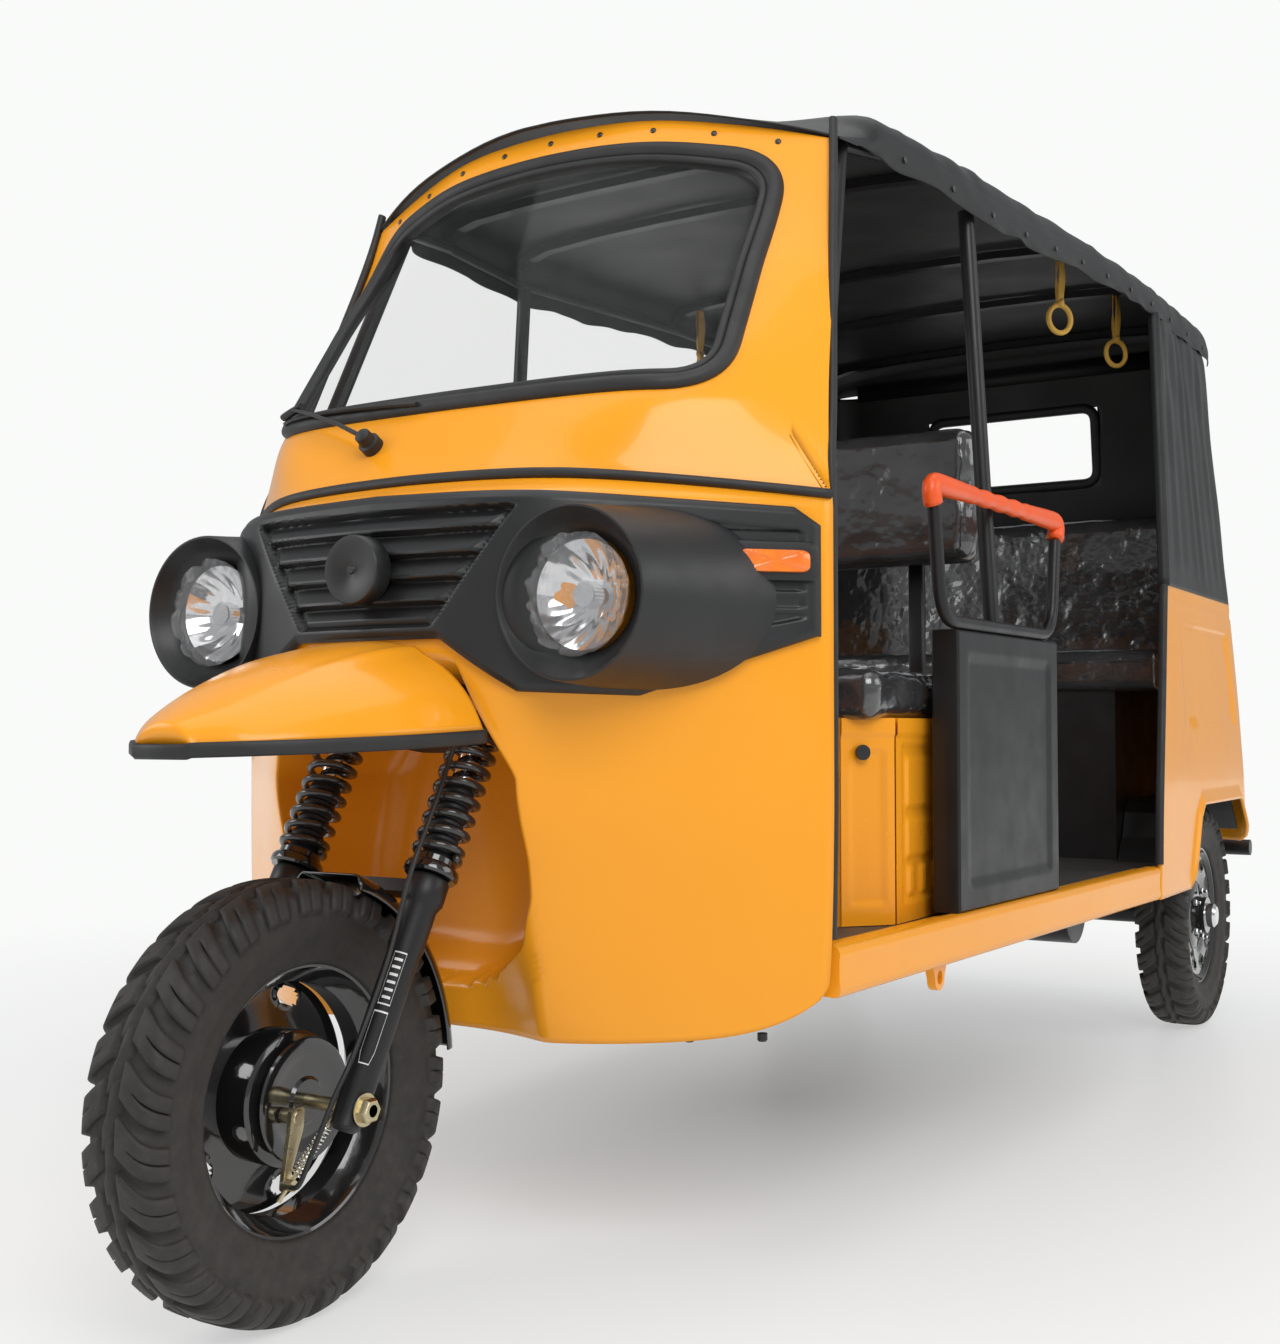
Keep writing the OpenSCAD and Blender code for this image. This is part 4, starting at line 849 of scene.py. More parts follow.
# Beak sections: station, half width, ridge height, edge height
BEAK = np.array([(-0.195, 0.046, 0.742, 0.716), (-0.150, 0.100, 0.764, 0.718), (-0.070, 0.152, 0.800, 0.721),
                 (0.030, 0.188, 0.832, 0.725), (0.110, 0.203, 0.848, 0.729), (0.146, 0.207, 0.852, 0.731)])


def beak_grid(rows=60, cols=81):
    """The beak over the wheel: across each station a flat crown, sloping flanks and a short upright edge,
    which is the blend of two powers of the distance from the middle."""
    y = np.linspace(BEAK[0, 0], BEAK[-1, 0], rows)[:, None]
    s = np.linspace(-1, 1, cols)[None, :]
    half, ridge, edge = (flow(y, BEAK[:, 0], BEAK[:, k]) for k in (1, 2, 3))
    drop = 0.75 * np.abs(s) ** 2.2 + 0.25 * np.abs(s) ** 9
    crease = 0.004 * np.exp(-((np.abs(s) - 0.42) / 0.06) ** 2)
    z = ridge + (edge - ridge) * drop + crease * np.clip((y + 0.1) / 0.2, 0, 1)
    x = half * np.sign(s) * np.abs(s) ** 0.92
    return np.stack(np.broadcast_arrays(x, y, z), -1)


beak_points = beak_grid()
nose = beak_points[:1].copy()
nose = np.concatenate([nose + (0, 0.002, -0.016), nose + (0, -0.003, -0.004)])
nose[0, :, 2] = BEAK[0, 3] - 0.006
beak_points = np.concatenate([nose, beak_points])
beak = piece("beak_shell", [(placed(beak_points), weave(*beak_points.shape[:2], turn=False))], "yellow_paint", node="beak")
walled(beak, 0.004)


def beak_edge(n=40):
    """The route of the beak's lower edge, from the shell round the blunt nose and back."""
    y = np.linspace(BEAK[-1, 0], BEAK[0, 0], n)
    half, edge = flow(y, BEAK[:, 0], BEAK[:, 1]), flow(y, BEAK[:, 0], BEAK[:, 3])
    side = np.stack([half, y, edge], 1)
    front = np.array([(0.040, -0.199, 0.714), (0.0, -0.200, 0.714), (-0.040, -0.199, 0.714)])
    return np.concatenate([side, front, side[::-1] * (-1, 1, 1)])


def strip_along(path, section_points, up=(0, 0, 1)):
    """A flat moulded strip: a section of (outwards, upwards) points carried along a path."""
    path = np.asarray(path, float)
    along = unit(np.gradient(path, axis=0))
    outward = unit(np.cross(along, up))
    grid = np.stack([path + outward * o + np.array(up) * u for o, u in section_points])
    n = len(path)
    k = len(section_points)
    faces = weave(k, n, wrap_rows=True, turn=False).tolist()
    return grid, faces + [[r * n for r in range(k)], [r * n + n - 1 for r in range(k - 1, -1, -1)]]


piece("beak_rubber", [(placed(p), f) for p, f in [strip_along(beak_edge()[::-1], [
    (-0.006, -0.015), (-0.006, -0.004), (-0.0045, 0.002), (0.0045, 0.002), (0.006, -0.002), (0.006, -0.013), (0.003, -0.016),
    (-0.003, -0.016)])]], "rubber", node="beak_trim")


def wiper_parts():
    """Pivot cap, bent arm and blade of the wiper, lying along the foot of the windscreen."""
    pivot, knee, tip = (-0.110, 1.147), (-0.170, 1.172), (-0.315, 1.222)
    post = on_front(*pivot, out=0.0)
    out = unit(on_front(*pivot, out=0.01) - post)
    cap = turned([(0.0, 0.001), (0.0, 0.017), (0.014, 0.017), (0.016, 0.013), (0.030, 0.012), (0.033, 0.009), (0.034, 0.001)],
                 placed(post), out, 32)
    s = np.linspace(0, 1, 24)
    arm_x = np.interp(s, [0, 0.25, 1], [pivot[0], knee[0], tip[0]])
    arm_z = np.interp(s, [0, 0.25, 1], [pivot[1], knee[1], tip[1]])
    arm = hose(placed(on_front(arm_x, arm_z, 0.024 + 0.006 * np.sin(math.pi * s))), 0.0050 - 0.0015 * s, 10, flat=0.7)
    b = np.linspace(0, 1, 30)
    blade_x, blade_z = -0.345 + 0.300 * b, 1.212 - 0.010 * b
    blade = hose(placed(on_front(blade_x, blade_z, 0.012 + 0.004 * np.sin(math.pi * b))), 0.0065, 8, flat=0.55)
    holder = hose(placed(on_front(np.linspace(-0.335, -0.290, 8), np.linspace(1.214, 1.224, 8), np.full(8, 0.022))), 0.0075, 10, flat=0.8)
    return [cap, arm, blade, holder]


piece("wiper_arm", wiper_parts(), "rubber", node="wiper", sharp=40, slot="black_plastic")

# ---------------------------------------------------------------- wheels


def tyre_part(centre, steps, side=1, pitch=27):
    """A tyre: its section of bead, wall, shoulder and tread turned round the axle, with lugs raised on it.

    The grid's columns slant with the lugs, and steps gives their places within one pitch, close at a lug's edges.
    A lug's height is a product of soft steps: across the tread two rows of blocks that run over the shoulder,
    swept back like an arrow and staggered, and along the middle a zigzag rib."""
    rim = 0.167
    base = TYRE_R - 0.0095
    outline = np.array([(0.030, rim + 0.002), (0.040, rim), (0.046, rim + 0.006), (0.047, rim + 0.014), (0.0505, rim + 0.024),
                        (0.0515, rim + 0.030), (0.0525, rim + 0.031), (0.0545, rim + 0.045), (0.0550, base - 0.042), (0.0545, base - 0.034),
                        (0.0520, base - 0.020), (0.0475, base - 0.009), (0.040, base - 0.003), (0.028, base - 0.0006),
                        (0.014, base), (0.0, base)])
    length = np.concatenate([[0], np.cumsum(np.linalg.norm(np.diff(outline, axis=0), axis=1))])
    fine = np.concatenate([np.linspace(0, length[8], 14)[:-1], np.linspace(length[8], length[-1], 26)])
    run = np.stack([flow(fine, length, outline[:, 0]), flow(fine, length, outline[:, 1])], 1)
    run = np.concatenate([run, run[-2::-1] * (-1, 1)])
    slope = np.gradient(run, axis=0)
    out = unit(np.stack([-slope[:, 1], slope[:, 0]], 1)) * -1
    out = np.where((out[:, 1:] < -0.2) & (run[:, 1:] > rim + 0.02), -out, out)
    cell = (np.arange(pitch)[:, None] + np.array(steps)).ravel()
    cell, x = np.meshgrid(cell, run[:, 0], indexing="ij")
    radius = np.broadcast_to(run[:, 1], cell.shape)
    ax = np.abs(x)
    reach = np.clip((radius - (base - 0.034)) / 0.006, 0, 1)
    bend = 0.62 * (ax / 0.05) ** 1.3
    phi = (cell - bend - 0.35 * ease((0.0115 - x) / 0.023)) * 2 * math.pi / pitch
    cell = cell - np.floor(cell)
    block = ease((0.35 - np.abs(cell - 0.5)) / 0.03) * ease((ax - 0.0115) / 0.002)
    notch = 1 - 0.7 * ease((0.022 - np.abs(cell - 0.5)) / 0.012) * ease((ax - 0.030) / 0.003)
    zig = 0.0075 + 0.0028 * np.sign(np.sin((cell + 0.08) * 2 * math.pi)) * np.sign(x)
    rib = ease((zig - ax) / 0.0018)
    high = 0.0095 * np.maximum(block * notch * ease(reach), rib) - 0.0012 * ease((radius - base + 0.03) / 0.02)
    ridge = 0.0007 * ease(np.cos((radius - rim) * 2 * math.pi / 0.012) * 2 - 1) * (radius < base - 0.045)
    r = radius + (high + ridge) * out[None, :, 1]
    xx = x + (high + ridge) * out[None, :, 0]
    points = np.stack([xx * side, r * np.sin(phi), r * np.cos(phi)], -1) + centre
    return points, weave(*phi.shape, wrap_rows=True, turn=side > 0)


def tyre_checked(part, centre):
    """The same tyre with its faces turned outwards if they point in."""
    points, faces = part
    flat = points.reshape(-1, 3)
    f = faces[len(faces) // 2:len(faces) // 2 + 4000]
    a, b, c = flat[f[:, 0]], flat[f[:, 1]], flat[f[:, 2]]
    normal = np.cross(b - a, c - a)
    away = (a + c) / 2 - centre
    away[:, 0] = 0
    return (points, faces if np.sum(normal * away) > 0 else faces[:, ::-1])


WHEELS = {name: middle(name + "_tyre") for name in ("front", "left", "right")}
NEAR_STEPS = [0, 0.145, 0.165, 0.185, 0.29, 0.40, 0.474, 0.492, 0.508, 0.526, 0.60, 0.71, 0.815, 0.835, 0.855]
FAR_STEPS = [0, 0.145, 0.165, 0.185, 0.33, 0.478, 0.50, 0.522, 0.67, 0.815, 0.835, 0.855]
for name, body in (("front", "front_wheel"), ("left", "rear_wheel_left"), ("right", "rear_wheel_right")):
    hub = WHEELS[name]
    piece(name + "_tyre_tread", [tyre_checked(tyre_part(hub, NEAR_STEPS if name == "front" else FAR_STEPS), hub)], "tyre",
          body=body, node=name + "_tyre")


def disc_with_holes(at, inner, outer, holes, ring_r, long, wide, sides=144, dish=0.0, turn=0.0):
    """A pressed wheel disc along X at station at: rings from the inner to the outer radius, with oval holes.

    Each hole is made by leaving out the faces that have a corner inside the oval."""
    spread = np.linspace(0, 2 * math.pi, sides * 2, endpoint=False)
    radii = np.linspace(inner, outer, 30)
    r, a = np.meshgrid(radii, spread, indexing="ij")
    lift = dish * ease((r - inner) / (outer - inner) * 1.4 - 0.2)
    part_angle = (a - turn + math.pi / holes) % (2 * math.pi / holes) - math.pi / holes
    u, v = part_angle * ring_r / long, (r - ring_r) / wide
    near = np.hypot(u, v)
    bead = 0.0035 * np.exp(-((near - 1.25) / 0.18) ** 2)
    grid = np.stack([at + lift + bead, r * np.sin(a), r * np.cos(a)], -1)
    cut = near < 1.0
    faces = weave(*r.shape, wrap_cols=True)
    whole = ~cut.ravel()[faces].any(1)
    return grid, faces[whole]


def wheel_rim(hub, out, front):
    """A pressed steel rim: flanges and drop centre turned round the axle, and its disc with hand holes."""
    flange = 0.175
    profile = [(-0.0375, flange - 0.012), (-0.041, flange - 0.004), (-0.0395, flange + 0.001), (-0.0365, flange - 0.001),
               (-0.034, flange - 0.010), (-0.024, flange - 0.014), (-0.020, flange - 0.026), (0.006, flange - 0.028),
               (0.016, flange - 0.020), (0.024, flange - 0.014), (0.034, flange - 0.010), (0.0365, flange - 0.001),
               (0.0395, flange + 0.001), (0.041, flange - 0.004), (0.0375, flange - 0.012), (0.026, flange - 0.018),
               (0.012, flange - 0.031), (-0.018, flange - 0.031), (-0.026, flange - 0.018)]
    rim = turned(profile, hub, (1, 0, 0), 120, loop=True)
    disc_at = -0.022 if front else 0.020
    grid, faces = disc_with_holes(disc_at, 0.040, 0.147, 5 if front else 10, 0.124, 0.017 if front else 0.014,
                                  0.010 if front else 0.009, dish=-0.010 if front else 0.012, turn=0.35)
    points = grid * (out, 1, 1) + hub
    parts = [rim, (points, faces if out > 0 else faces[:, ::-1])]
    hub_face = 0.030 if front else 0.046
    drum = [(-0.040, 0.002), (-0.040, 0.078), (-0.036, 0.084), (0.022, 0.084), (0.026, 0.078), (0.027, 0.048), (0.030, 0.046),
            (0.030, 0.002)]
    if not front:
        drum = [(-0.046, 0.002), (-0.046, 0.080), (-0.042, 0.084), (0.026, 0.084), (0.030, 0.078), (0.031, 0.046),
                (hub_face + 0.010, 0.044), (hub_face + 0.010, 0.002)]
    drum = [(a * out, r) for a, r in drum]
    parts.append(turned(drum if out > 0 else drum[::-1], hub, (1, 0, 0), 72))
    return parts


def wheel_nuts(hub, out, at, ring_r, count, size=0.0085):
    """A ring of nuts on their studs, each a six-sided turned form."""
    parts = []
    for k in range(count):
        a = 2 * math.pi * k / count + 0.3
        place = hub + (out * at, ring_r * math.sin(a), ring_r * math.cos(a))
        profile = [(0.0, 0.0005), (0.0, size), (0.007, size), (0.0085, size * 0.8), (0.0085, 0.0042), (0.016, 0.0042),
                   (0.017, 0.0030), (0.017, 0.0005)]
        parts.append(turned(profile[::-1] if out < 0 else profile, place, (out, 0, 0), 6 if size > 0.006 else 12))
    return parts


for name, body, out in (("front", "front_wheel", 1), ("left", "rear_wheel_left", 1), ("right", "rear_wheel_right", -1)):
    hub, front = WHEELS[name], name == "front"
    parts = [(*p, "rim_paint") for p in wheel_rim(hub, out, front)]
    if not front:
        cap = [(0.054, 0.030), (0.072, 0.029), (0.078, 0.022), (0.080, 0.001)]
        cap = [(a * out, r) for a, r in cap]
        parts.append((*turned(cap if out > 0 else cap[::-1], hub, (1, 0, 0), 48), "chrome"))
        parts += [(*p, "chrome") for p in wheel_nuts(hub, out, 0.034, 0.060, 5)]
    piece(name + "_rim_steel", parts, "rim_paint", body=body, node=name + "_rim", sharp=35)

# ---------------------------------------------------------------- fork and steering

FORK_HALF = 0.118
SEAT_UP, SPRING_LEN, FORK_OFFSET = 0.330, 0.190, 0.042
CROWN_UP = SEAT_UP + SPRING_LEN + 0.004
AXLE = WHEELS["front"]
UPRIGHT = np.array([0.0, math.sin(RAKE), math.cos(RAKE)])
FORWARD = np.array([0.0, math.cos(RAKE), -math.sin(RAKE)])


def fork_point(x, back, up):
    """A point of the fork's own frame: across, behind the legs, and up along them from the axle."""
    x, back, up = (np.asarray(v, float)[..., None] for v in np.broadcast_arrays(x, back, up))
    return AXLE + x * np.array([1.0, 0, 0]) + back * FORWARD + up * UPRIGHT


def on_leg(profile, x, sides=48, back=0.0):
    """A profile of (height along the leg, radius) turned round a fork leg."""
    return turned(profile, fork_point(x, back, 0.0), UPRIGHT, sides)


def fork_leg(x):
    """A leg: fat lower slider with steps and a pinch foot, bellows collar, chrome stanchion and dark cover."""
    slider = [(-0.028, 0.001), (-0.028, 0.014), (-0.024, 0.0185), (0.020, 0.020), (0.024, 0.0215), (0.200, 0.0215),
              (0.206, 0.0235), (0.262, 0.0235), (0.268, 0.0260), (0.272, 0.0285), (0.300, 0.0285), (0.304, 0.0260),
              (0.306, 0.001)]
    collar = [(0.306, 0.001), (0.306, 0.034), (0.309, 0.037), (0.3155, 0.037), (0.3195, 0.035), (0.3225, 0.030),
              (0.3295, 0.0295), (0.3297, 0.001)]
    tube = [(0.328, 0.001), (0.328, 0.0155), (CROWN_UP, 0.0155), (CROWN_UP, 0.001)]
    cover = [(0.330, 0.001), (0.330, 0.0215), (0.333, 0.0225)]
    for k in range(8):
        z = 0.340 + 0.0115 * k
        cover += [(z, 0.0190), (z + 0.004, 0.0222), (z + 0.008, 0.0222)]
    cover += [(0.436, 0.0190), (0.440, 0.016), (0.440, 0.001)]
    return [(*on_leg(slider, x), "black_paint"), (*on_leg(collar, x), "rim_paint"), (*on_leg(tube, x), "chrome"),
            (*on_leg(cover, x), "rubber")]


def leg_graphic(x, face):
    """Thin white outlines printed on the slider: a long arrow box and a slotted box, as strips on the leg."""
    parts = []
    boxes = [[(-0.30, 0.050), (0.30, 0.050), (0.42, 0.066), (0.42, 0.118), (-0.42, 0.118), (-0.42, 0.066)],
             [(-0.38, 0.126), (0.38, 0.126), (0.38, 0.196), (-0.38, 0.196)]]
    for box in boxes:
        loop = np.array(box + box[:1])
        line = np.concatenate([np.linspace(a, b, 12, endpoint=False) for a, b in zip(loop[:-1], loop[1:])])
        heart = line.mean(0)
        rows = [line + (heart - line) * 0.0, line + (heart - line) * 0.055]
        grid = []
        for row in rows:
            a = face + row[:, 0]
            grid.append(fork_point(x + 0.0219 * np.sin(a), -0.0219 * np.cos(a), row[:, 1]))
        grid = np.stack(grid)
        parts.append((grid, weave(2, len(line), wrap_cols=True, turn=True)))
    for k in range(6):
        a = face + np.linspace(-0.25, 0.25, 6)
        grid = np.stack([fork_point(x + 0.0219 * np.sin(a), -0.0219 * np.cos(a), 0.134 + 0.010 * k + d) for d in (0, 0.0035)])
        parts.append((grid, weave(2, 6, turn=True)))
    return parts


def fork_crown():
    """Top bridge over the springs, brace over the wheel with its two arms, and the stem."""
    w = FORK_HALF + 0.021
    plate = eased([(-w, -0.020), (w, -0.020), (w, 0.014), (0.030, 0.066), (-0.030, 0.066), (-w, 0.014)], 0.012)
    n = len(plate)
    heart = plate.mean(0)
    grid = np.stack([fork_point(*(heart + (plate - heart) * s).T, CROWN_UP + h) for s, h in (
        (0.97, 0.0), (1.0, 0.003), (1.0, 0.018), (0.97, 0.022))])
    top = (grid, weave(4, n, wrap_cols=True).tolist() + [list(range(n - 1, -1, -1)), list(range(3 * n, 4 * n))])
    stem = turned([(CROWN_UP + 0.010, 0.001), (CROWN_UP + 0.010, 0.017), (CROWN_UP + 0.420, 0.017), (CROWN_UP + 0.420, 0.001)],
                  fork_point(0, FORK_OFFSET, 0), UPRIGHT, 40)
    brace_up = TYRE_R + 0.0165
    brace = slab(eased([(-FORK_HALF, -0.013), (FORK_HALF, -0.013), (FORK_HALF, 0.013), (-FORK_HALF, 0.013)], 0.006),
                 0.0, 0.018, plane="xy")
    flat = brace[0]
    brace = (fork_point(flat[:, 0], 0.025 + flat[:, 1], brace_up + flat[:, 2]), brace[1])
    return [top, stem, brace]


fork_parts = [p for x in (FORK_HALF, -FORK_HALF) for p in fork_leg(x)]
fork_parts += [(*p, "black_paint") for p in fork_crown()]
fork_piece = piece("fork_legs", fork_parts, "black_paint", body="steering", node="fork", sharp=35)
lines = [p for x, face in ((FORK_HALF, 0.55), (-FORK_HALF, -0.55)) for p in leg_graphic(x, face)]
piece("leg_lines", lines, "white_line", body="steering", slot="black_paint")


def coil(x, turns=9, radius=0.030, wire=0.0055):
    """A spring: one helix whose end turns lie flat against their seats."""
    t = np.linspace(0, 1, turns * 40 + 1)
    low, high = SEAT_UP + wire, CROWN_UP - wire
    shape = np.interp(t, [0, 0.09, 0.91, 1], [0, 0.035, 0.965, 1])
    a = 2 * math.pi * turns * t
    path = fork_point(x + radius * np.cos(a), radius * np.sin(a), low + (high - low) * shape)
    return hose(path, wire, 12)


piece("fork_coils", [coil(FORK_HALF), coil(-FORK_HALF)], "spring_steel", body="steering", node="fork_springs")


def steering_bar():
    """Clamp, bent bar and rubber grips."""
    up = CROWN_UP + 0.4203
    route = bent(np.array([(-0.325, 0.060, 0.010), (-0.150, 0.0, 0.020), (0.150, 0.0, 0.020), (0.325, 0.060, 0.010)]), 0.06, 10)
    bar = hose(fork_point(route[:, 0], FORK_OFFSET + route[:, 1], up + 0.030 + route[:, 2]), 0.0115, 20)
    grips = []
    for s in (-1, 1):
        g = np.linspace(0.205, 0.322, 40)
        at = np.stack([s * g, np.interp(g, [0.15, 0.325], [0.0, 0.060]), np.interp(g, [0.15, 0.325], [0.020, 0.010])], 1)
        ribs = 0.0165 + 0.0012 * np.sign(np.sin(g * 2 * math.pi / 0.009))
        grips.append((*hose(fork_point(at[:, 0], FORK_OFFSET + at[:, 1], up + 0.030 + at[:, 2]), ribs, 20), "rubber"))
    clamp = slab(eased([(-0.034, -0.021), (0.034, -0.021), (0.034, 0.021), (-0.034, 0.021)], 0.008), 0.0, 0.050, plane="xy")
    flat = clamp[0]
    clamp = (fork_point(flat[:, 0], FORK_OFFSET + flat[:, 1], up + flat[:, 2]), clamp[1])
    return [(*bar, "rim_paint"), (*clamp, "black_paint")] + grips


piece("steering_bar", steering_bar(), "black_paint", body="steering", node="handlebar", sharp=40)


def guard_grid():
    """The inner mudguard: an arched section carried round the tyre, with rolled edges."""
    half = 0.062
    angle = np.radians(np.linspace(0, 100, 60))
    s = np.linspace(-1, 1, 31)
    a, s = np.meshgrid(angle, s, indexing="ij")
    edge = np.clip((np.abs(s) - 0.72) / 0.28, 0, 1)
    r = TYRE_R + 0.0145 - 0.020 * edge ** 2
    x = s * half - np.sign(s) * 0.004 * edge ** 3
    turn = math.radians(18) + a * 0.68
    return np.stack([x, -r * np.cos(turn + math.pi / 2), r * np.sin(turn + math.pi / 2)], -1) + AXLE


guard = guard_grid()
guard_lo, guard_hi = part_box("front_mudguard")
guard_piece = piece("inner_mudguard", [(guard, weave(*guard.shape[:2], turn=False))], "rim_paint", body="steering",
                    node="front_mudguard", slot="black_plastic")
walled(guard_piece, 0.003)

# ---------------------------------------------------------------- brake arm and cable

PLATE_X = 0.0393


def brake_parts():
    """Axle and nuts, back plate, forked arm, and the sprung pull rod that runs back to the leg's foot."""
    parts = [(*turned([(-0.153, 0.001), (-0.153, 0.0075), (-0.151, 0.009), (0.151, 0.009), (0.153, 0.0075), (0.153, 0.001)],
                      AXLE, (1, 0, 0), 28), "gold_steel")]
    for s in (-1, 1):
        nut = [(0.0, 0.001), (0.0, 0.0160), (0.010, 0.0160), (0.013, 0.0135), (0.013, 0.001)]
        parts.append((*turned(nut, AXLE + (s * 0.140, 0, 0), (s, 0, 0), 6), "gold_steel"))
        washer = [(-0.001, 0.001), (-0.001, 0.020), (0.0005, 0.0205), (0.0015, 0.020), (0.0015, 0.001)]
        parts.append((*turned(washer, AXLE + (s * 0.1395, 0, 0), (s, 0, 0), 32), "gold_steel"))
    plate = [(0.0, 0.010), (0.0, 0.074), (0.003, 0.078), (0.006, 0.076), (0.0075, 0.060), (0.0045, 0.055), (0.0045, 0.030),
             (0.008, 0.026), (0.008, 0.010)]
    parts.append((*turned(plate, AXLE + (PLATE_X, 0, 0), (1, 0, 0), 72), "rim_paint"))
    pivot = AXLE + (PLATE_X, -0.040, -0.010)
    boss = [(0.006, 0.001), (0.006, 0.0095), (0.030, 0.0095), (0.032, 0.008), (0.032, 0.001)]
    parts.append((*turned(boss, pivot, (1, 0, 0), 28), "gold_steel"))
    arm = eased([(0.011, 0.012), (-0.011, 0.012), (-0.013, -0.012), (-0.024, -0.066), (-0.026, -0.084), (-0.014, -0.086),
                 (-0.010, -0.062), (0.010, -0.014)], 0.006)
    body = slab(arm, PLATE_X + 0.0235, PLATE_X + 0.0295, plane="yz")
    parts.append((body[0] + (AXLE + (0, -0.040, -0.010)) * (0, 1, 1) + (AXLE[0], 0, 0), body[1], "gold_steel"))
    low = AXLE + (PLATE_X + 0.034, -0.0595, -0.086)
    foot = fork_point(FORK_HALF - 0.018, -0.004, -0.010)
    rod = np.linspace(0, 1, 40)[:, None] * (foot - low) + low
    parts.append((*hose(rod, 0.0028, 10), "gold_steel"))
    back = low - unit(foot - low) * 0.022
    parts.append((*hose(np.linspace(back, low, 4), 0.0028, 10), "gold_steel"))
    parts.append((*turned([(-0.008, 0.001), (-0.008, 0.007), (0.008, 0.007), (0.008, 0.001)], low, (1, 0, 0), 24), "gold_steel"))
    t = np.linspace(0, 1, 14 * 24)
    along = unit(foot - low)
    side = unit(np.cross(along, (0, 0, 1)))
    over = np.cross(along, side)
    a = 2 * math.pi * 14 * t
    wind = low + along * (0.014 + (np.linalg.norm(foot - low) - 0.030) * t)[:, None] \
        + 0.0062 * (np.cos(a)[:, None] * side + np.sin(a)[:, None] * over)
    parts.append((*hose(wind, 0.0013, 7), "chrome"))
    return parts


piece("brake_gear", brake_parts(), "gold_steel", body="steering", node="brake_rod", sharp=40)

CABLE_ROUTE = np.array([(0.0703, -0.062, 0.187), (0.092, -0.064, 0.190), (0.106, -0.058, 0.224), (0.117, -0.030, 0.290),
                        (0.122, 0.001, 0.341), (0.124, 0.059, 0.446), (0.124, 0.102, 0.548), (0.124, 0.156, 0.644),
                        (0.122, 0.204, 0.728), (0.118, 0.236, 0.756)])


def rounded_route(route, steps=8):
    """A smooth curve through a route's points: each span is the cubic that keeps its neighbours' direction."""
    p = np.concatenate([route[:1], route, route[-1:]])
    t = np.linspace(0, 1, steps, endpoint=False)[:, None]
    spans = [0.5 * (2 * b + (c - a) * t + (2 * a - 5 * b + 4 * c - d) * t ** 2 + (3 * b - a - 3 * c + d) * t ** 3)
             for a, b, c, d in zip(p[:-3], p[1:-2], p[2:-1], p[3:])]
    return np.concatenate(spans + [route[-1:]])


piece("brake_cable_sleeve", [hose(placed(rounded_route(CABLE_ROUTE)), 0.0033, 10)], "rubber", body="steering",
      node="brake_cable")

# ---------------------------------------------------------------- side: sills, panels, rails

DOOR_Y, REAR_DOOR_Y, SILL_TOP, SILL_BOTTOM = 0.486, 2.030, 0.440, 0.370
FRONT_HALF, REAR_HALF = 0.540, 0.600
FLOOR_Z = SILL_TOP - 0.012
SIDE_LEAN = math.atan2(REAR_HALF - FRONT_HALF, REAR_DOOR_Y - DOOR_Y)
POST_Y = 1.190


def side_x(y):
    """Half width of the body at the sill."""
    return FRONT_HALF + (REAR_HALF - FRONT_HALF) * (np.asarray(y, float) - DOOR_Y) / (REAR_DOOR_Y - DOOR_Y)


PANEL_X = float(side_x(POST_Y)) - 0.014


def sill_part(n=60):
    """A sill: a pressed section of outer face, rolled lower flange and top step, carried along the body's side."""
    y = np.linspace(DOOR_Y + 0.0163, REAR_DOOR_Y - 0.0003, n)
    low = SILL_BOTTOM + 0 * y
    out = side_x(y)
    section = [(0.058, 0.004, 0), (0.014, 0.0, 0), (0.006, 0.0, 0), (0.0015, 0.004, 0), (0.0, 0.012, 0), (0.0015, 0.022, 0),
               (0.0015, -0.020, 1), (0.0005, -0.010, 1), (0.004, -0.003, 1), (0.012, 0.0, 1), (0.030, 0.0, 1),
               (0.032, -0.006, 1), (0.058, -0.006, 1)]
    rows = [np.stack([out - inward, y, (SILL_TOP + 0 * y if top else low) + lift], 1) for inward, lift, top in section]
    grid = np.stack(rows)
    k = len(section)
    faces = weave(k, n, wrap_rows=True, turn=False).tolist()
    return grid, faces + [[r * n for r in range(k)], [r * n + n - 1 for r in range(k - 1, -1, -1)]]


def sill_lug():
    """The bracket under the sill with its hole."""
    y0, x1 = 0.900, float(side_x(0.900)) - 0.026
    spread = np.radians(np.linspace(0, 360, 65)[:-1])
    outer = np.stack([0.020 * np.cos(spread), -0.024 + 0.020 * np.sin(spread)], 1)
    outer[:, 1] = np.where(np.sin(spread) > 0.05, 0.0, outer[:, 1])
    outer[:, 0] = np.where(np.sin(spread) > 0.05, np.clip(outer[:, 0] * 1.9, -0.032, 0.032), outer[:, 0])
    hole = np.stack([0.011 * np.cos(spread), -0.024 + 0.011 * np.sin(spread)], 1)
    rings = [(hole, 0), (hole, 1), (outer, 1), (outer, 0)]
    grid = np.stack([np.stack([np.full(64, x1 - 0.014 + 0.014 * s), y0 + o[:, 0], SILL_BOTTOM + o[:, 1]], 1) for o, s in rings])
    return grid, weave(4, 64, wrap_rows=True, wrap_cols=True, turn=False)


sill = sill_part()
sills = piece("sill_pressings", [(placed(p), f) for p, f in both([sill, sill_lug()])], "yellow_paint", node="sills", sharp=50)


def side_frame(points):
    """Points of a side panel's own frame (outwards, along, up) set at the middle post and turned with the body."""
    points = np.asarray(points, float)
    c, s = math.cos(SIDE_LEAN), math.sin(SIDE_LEAN)
    x = PANEL_X + points[..., 0] * c + points[..., 1] * s
    y = POST_Y - points[..., 0] * s + points[..., 1] * c
    return np.stack([x, y, points[..., 2]], -1)


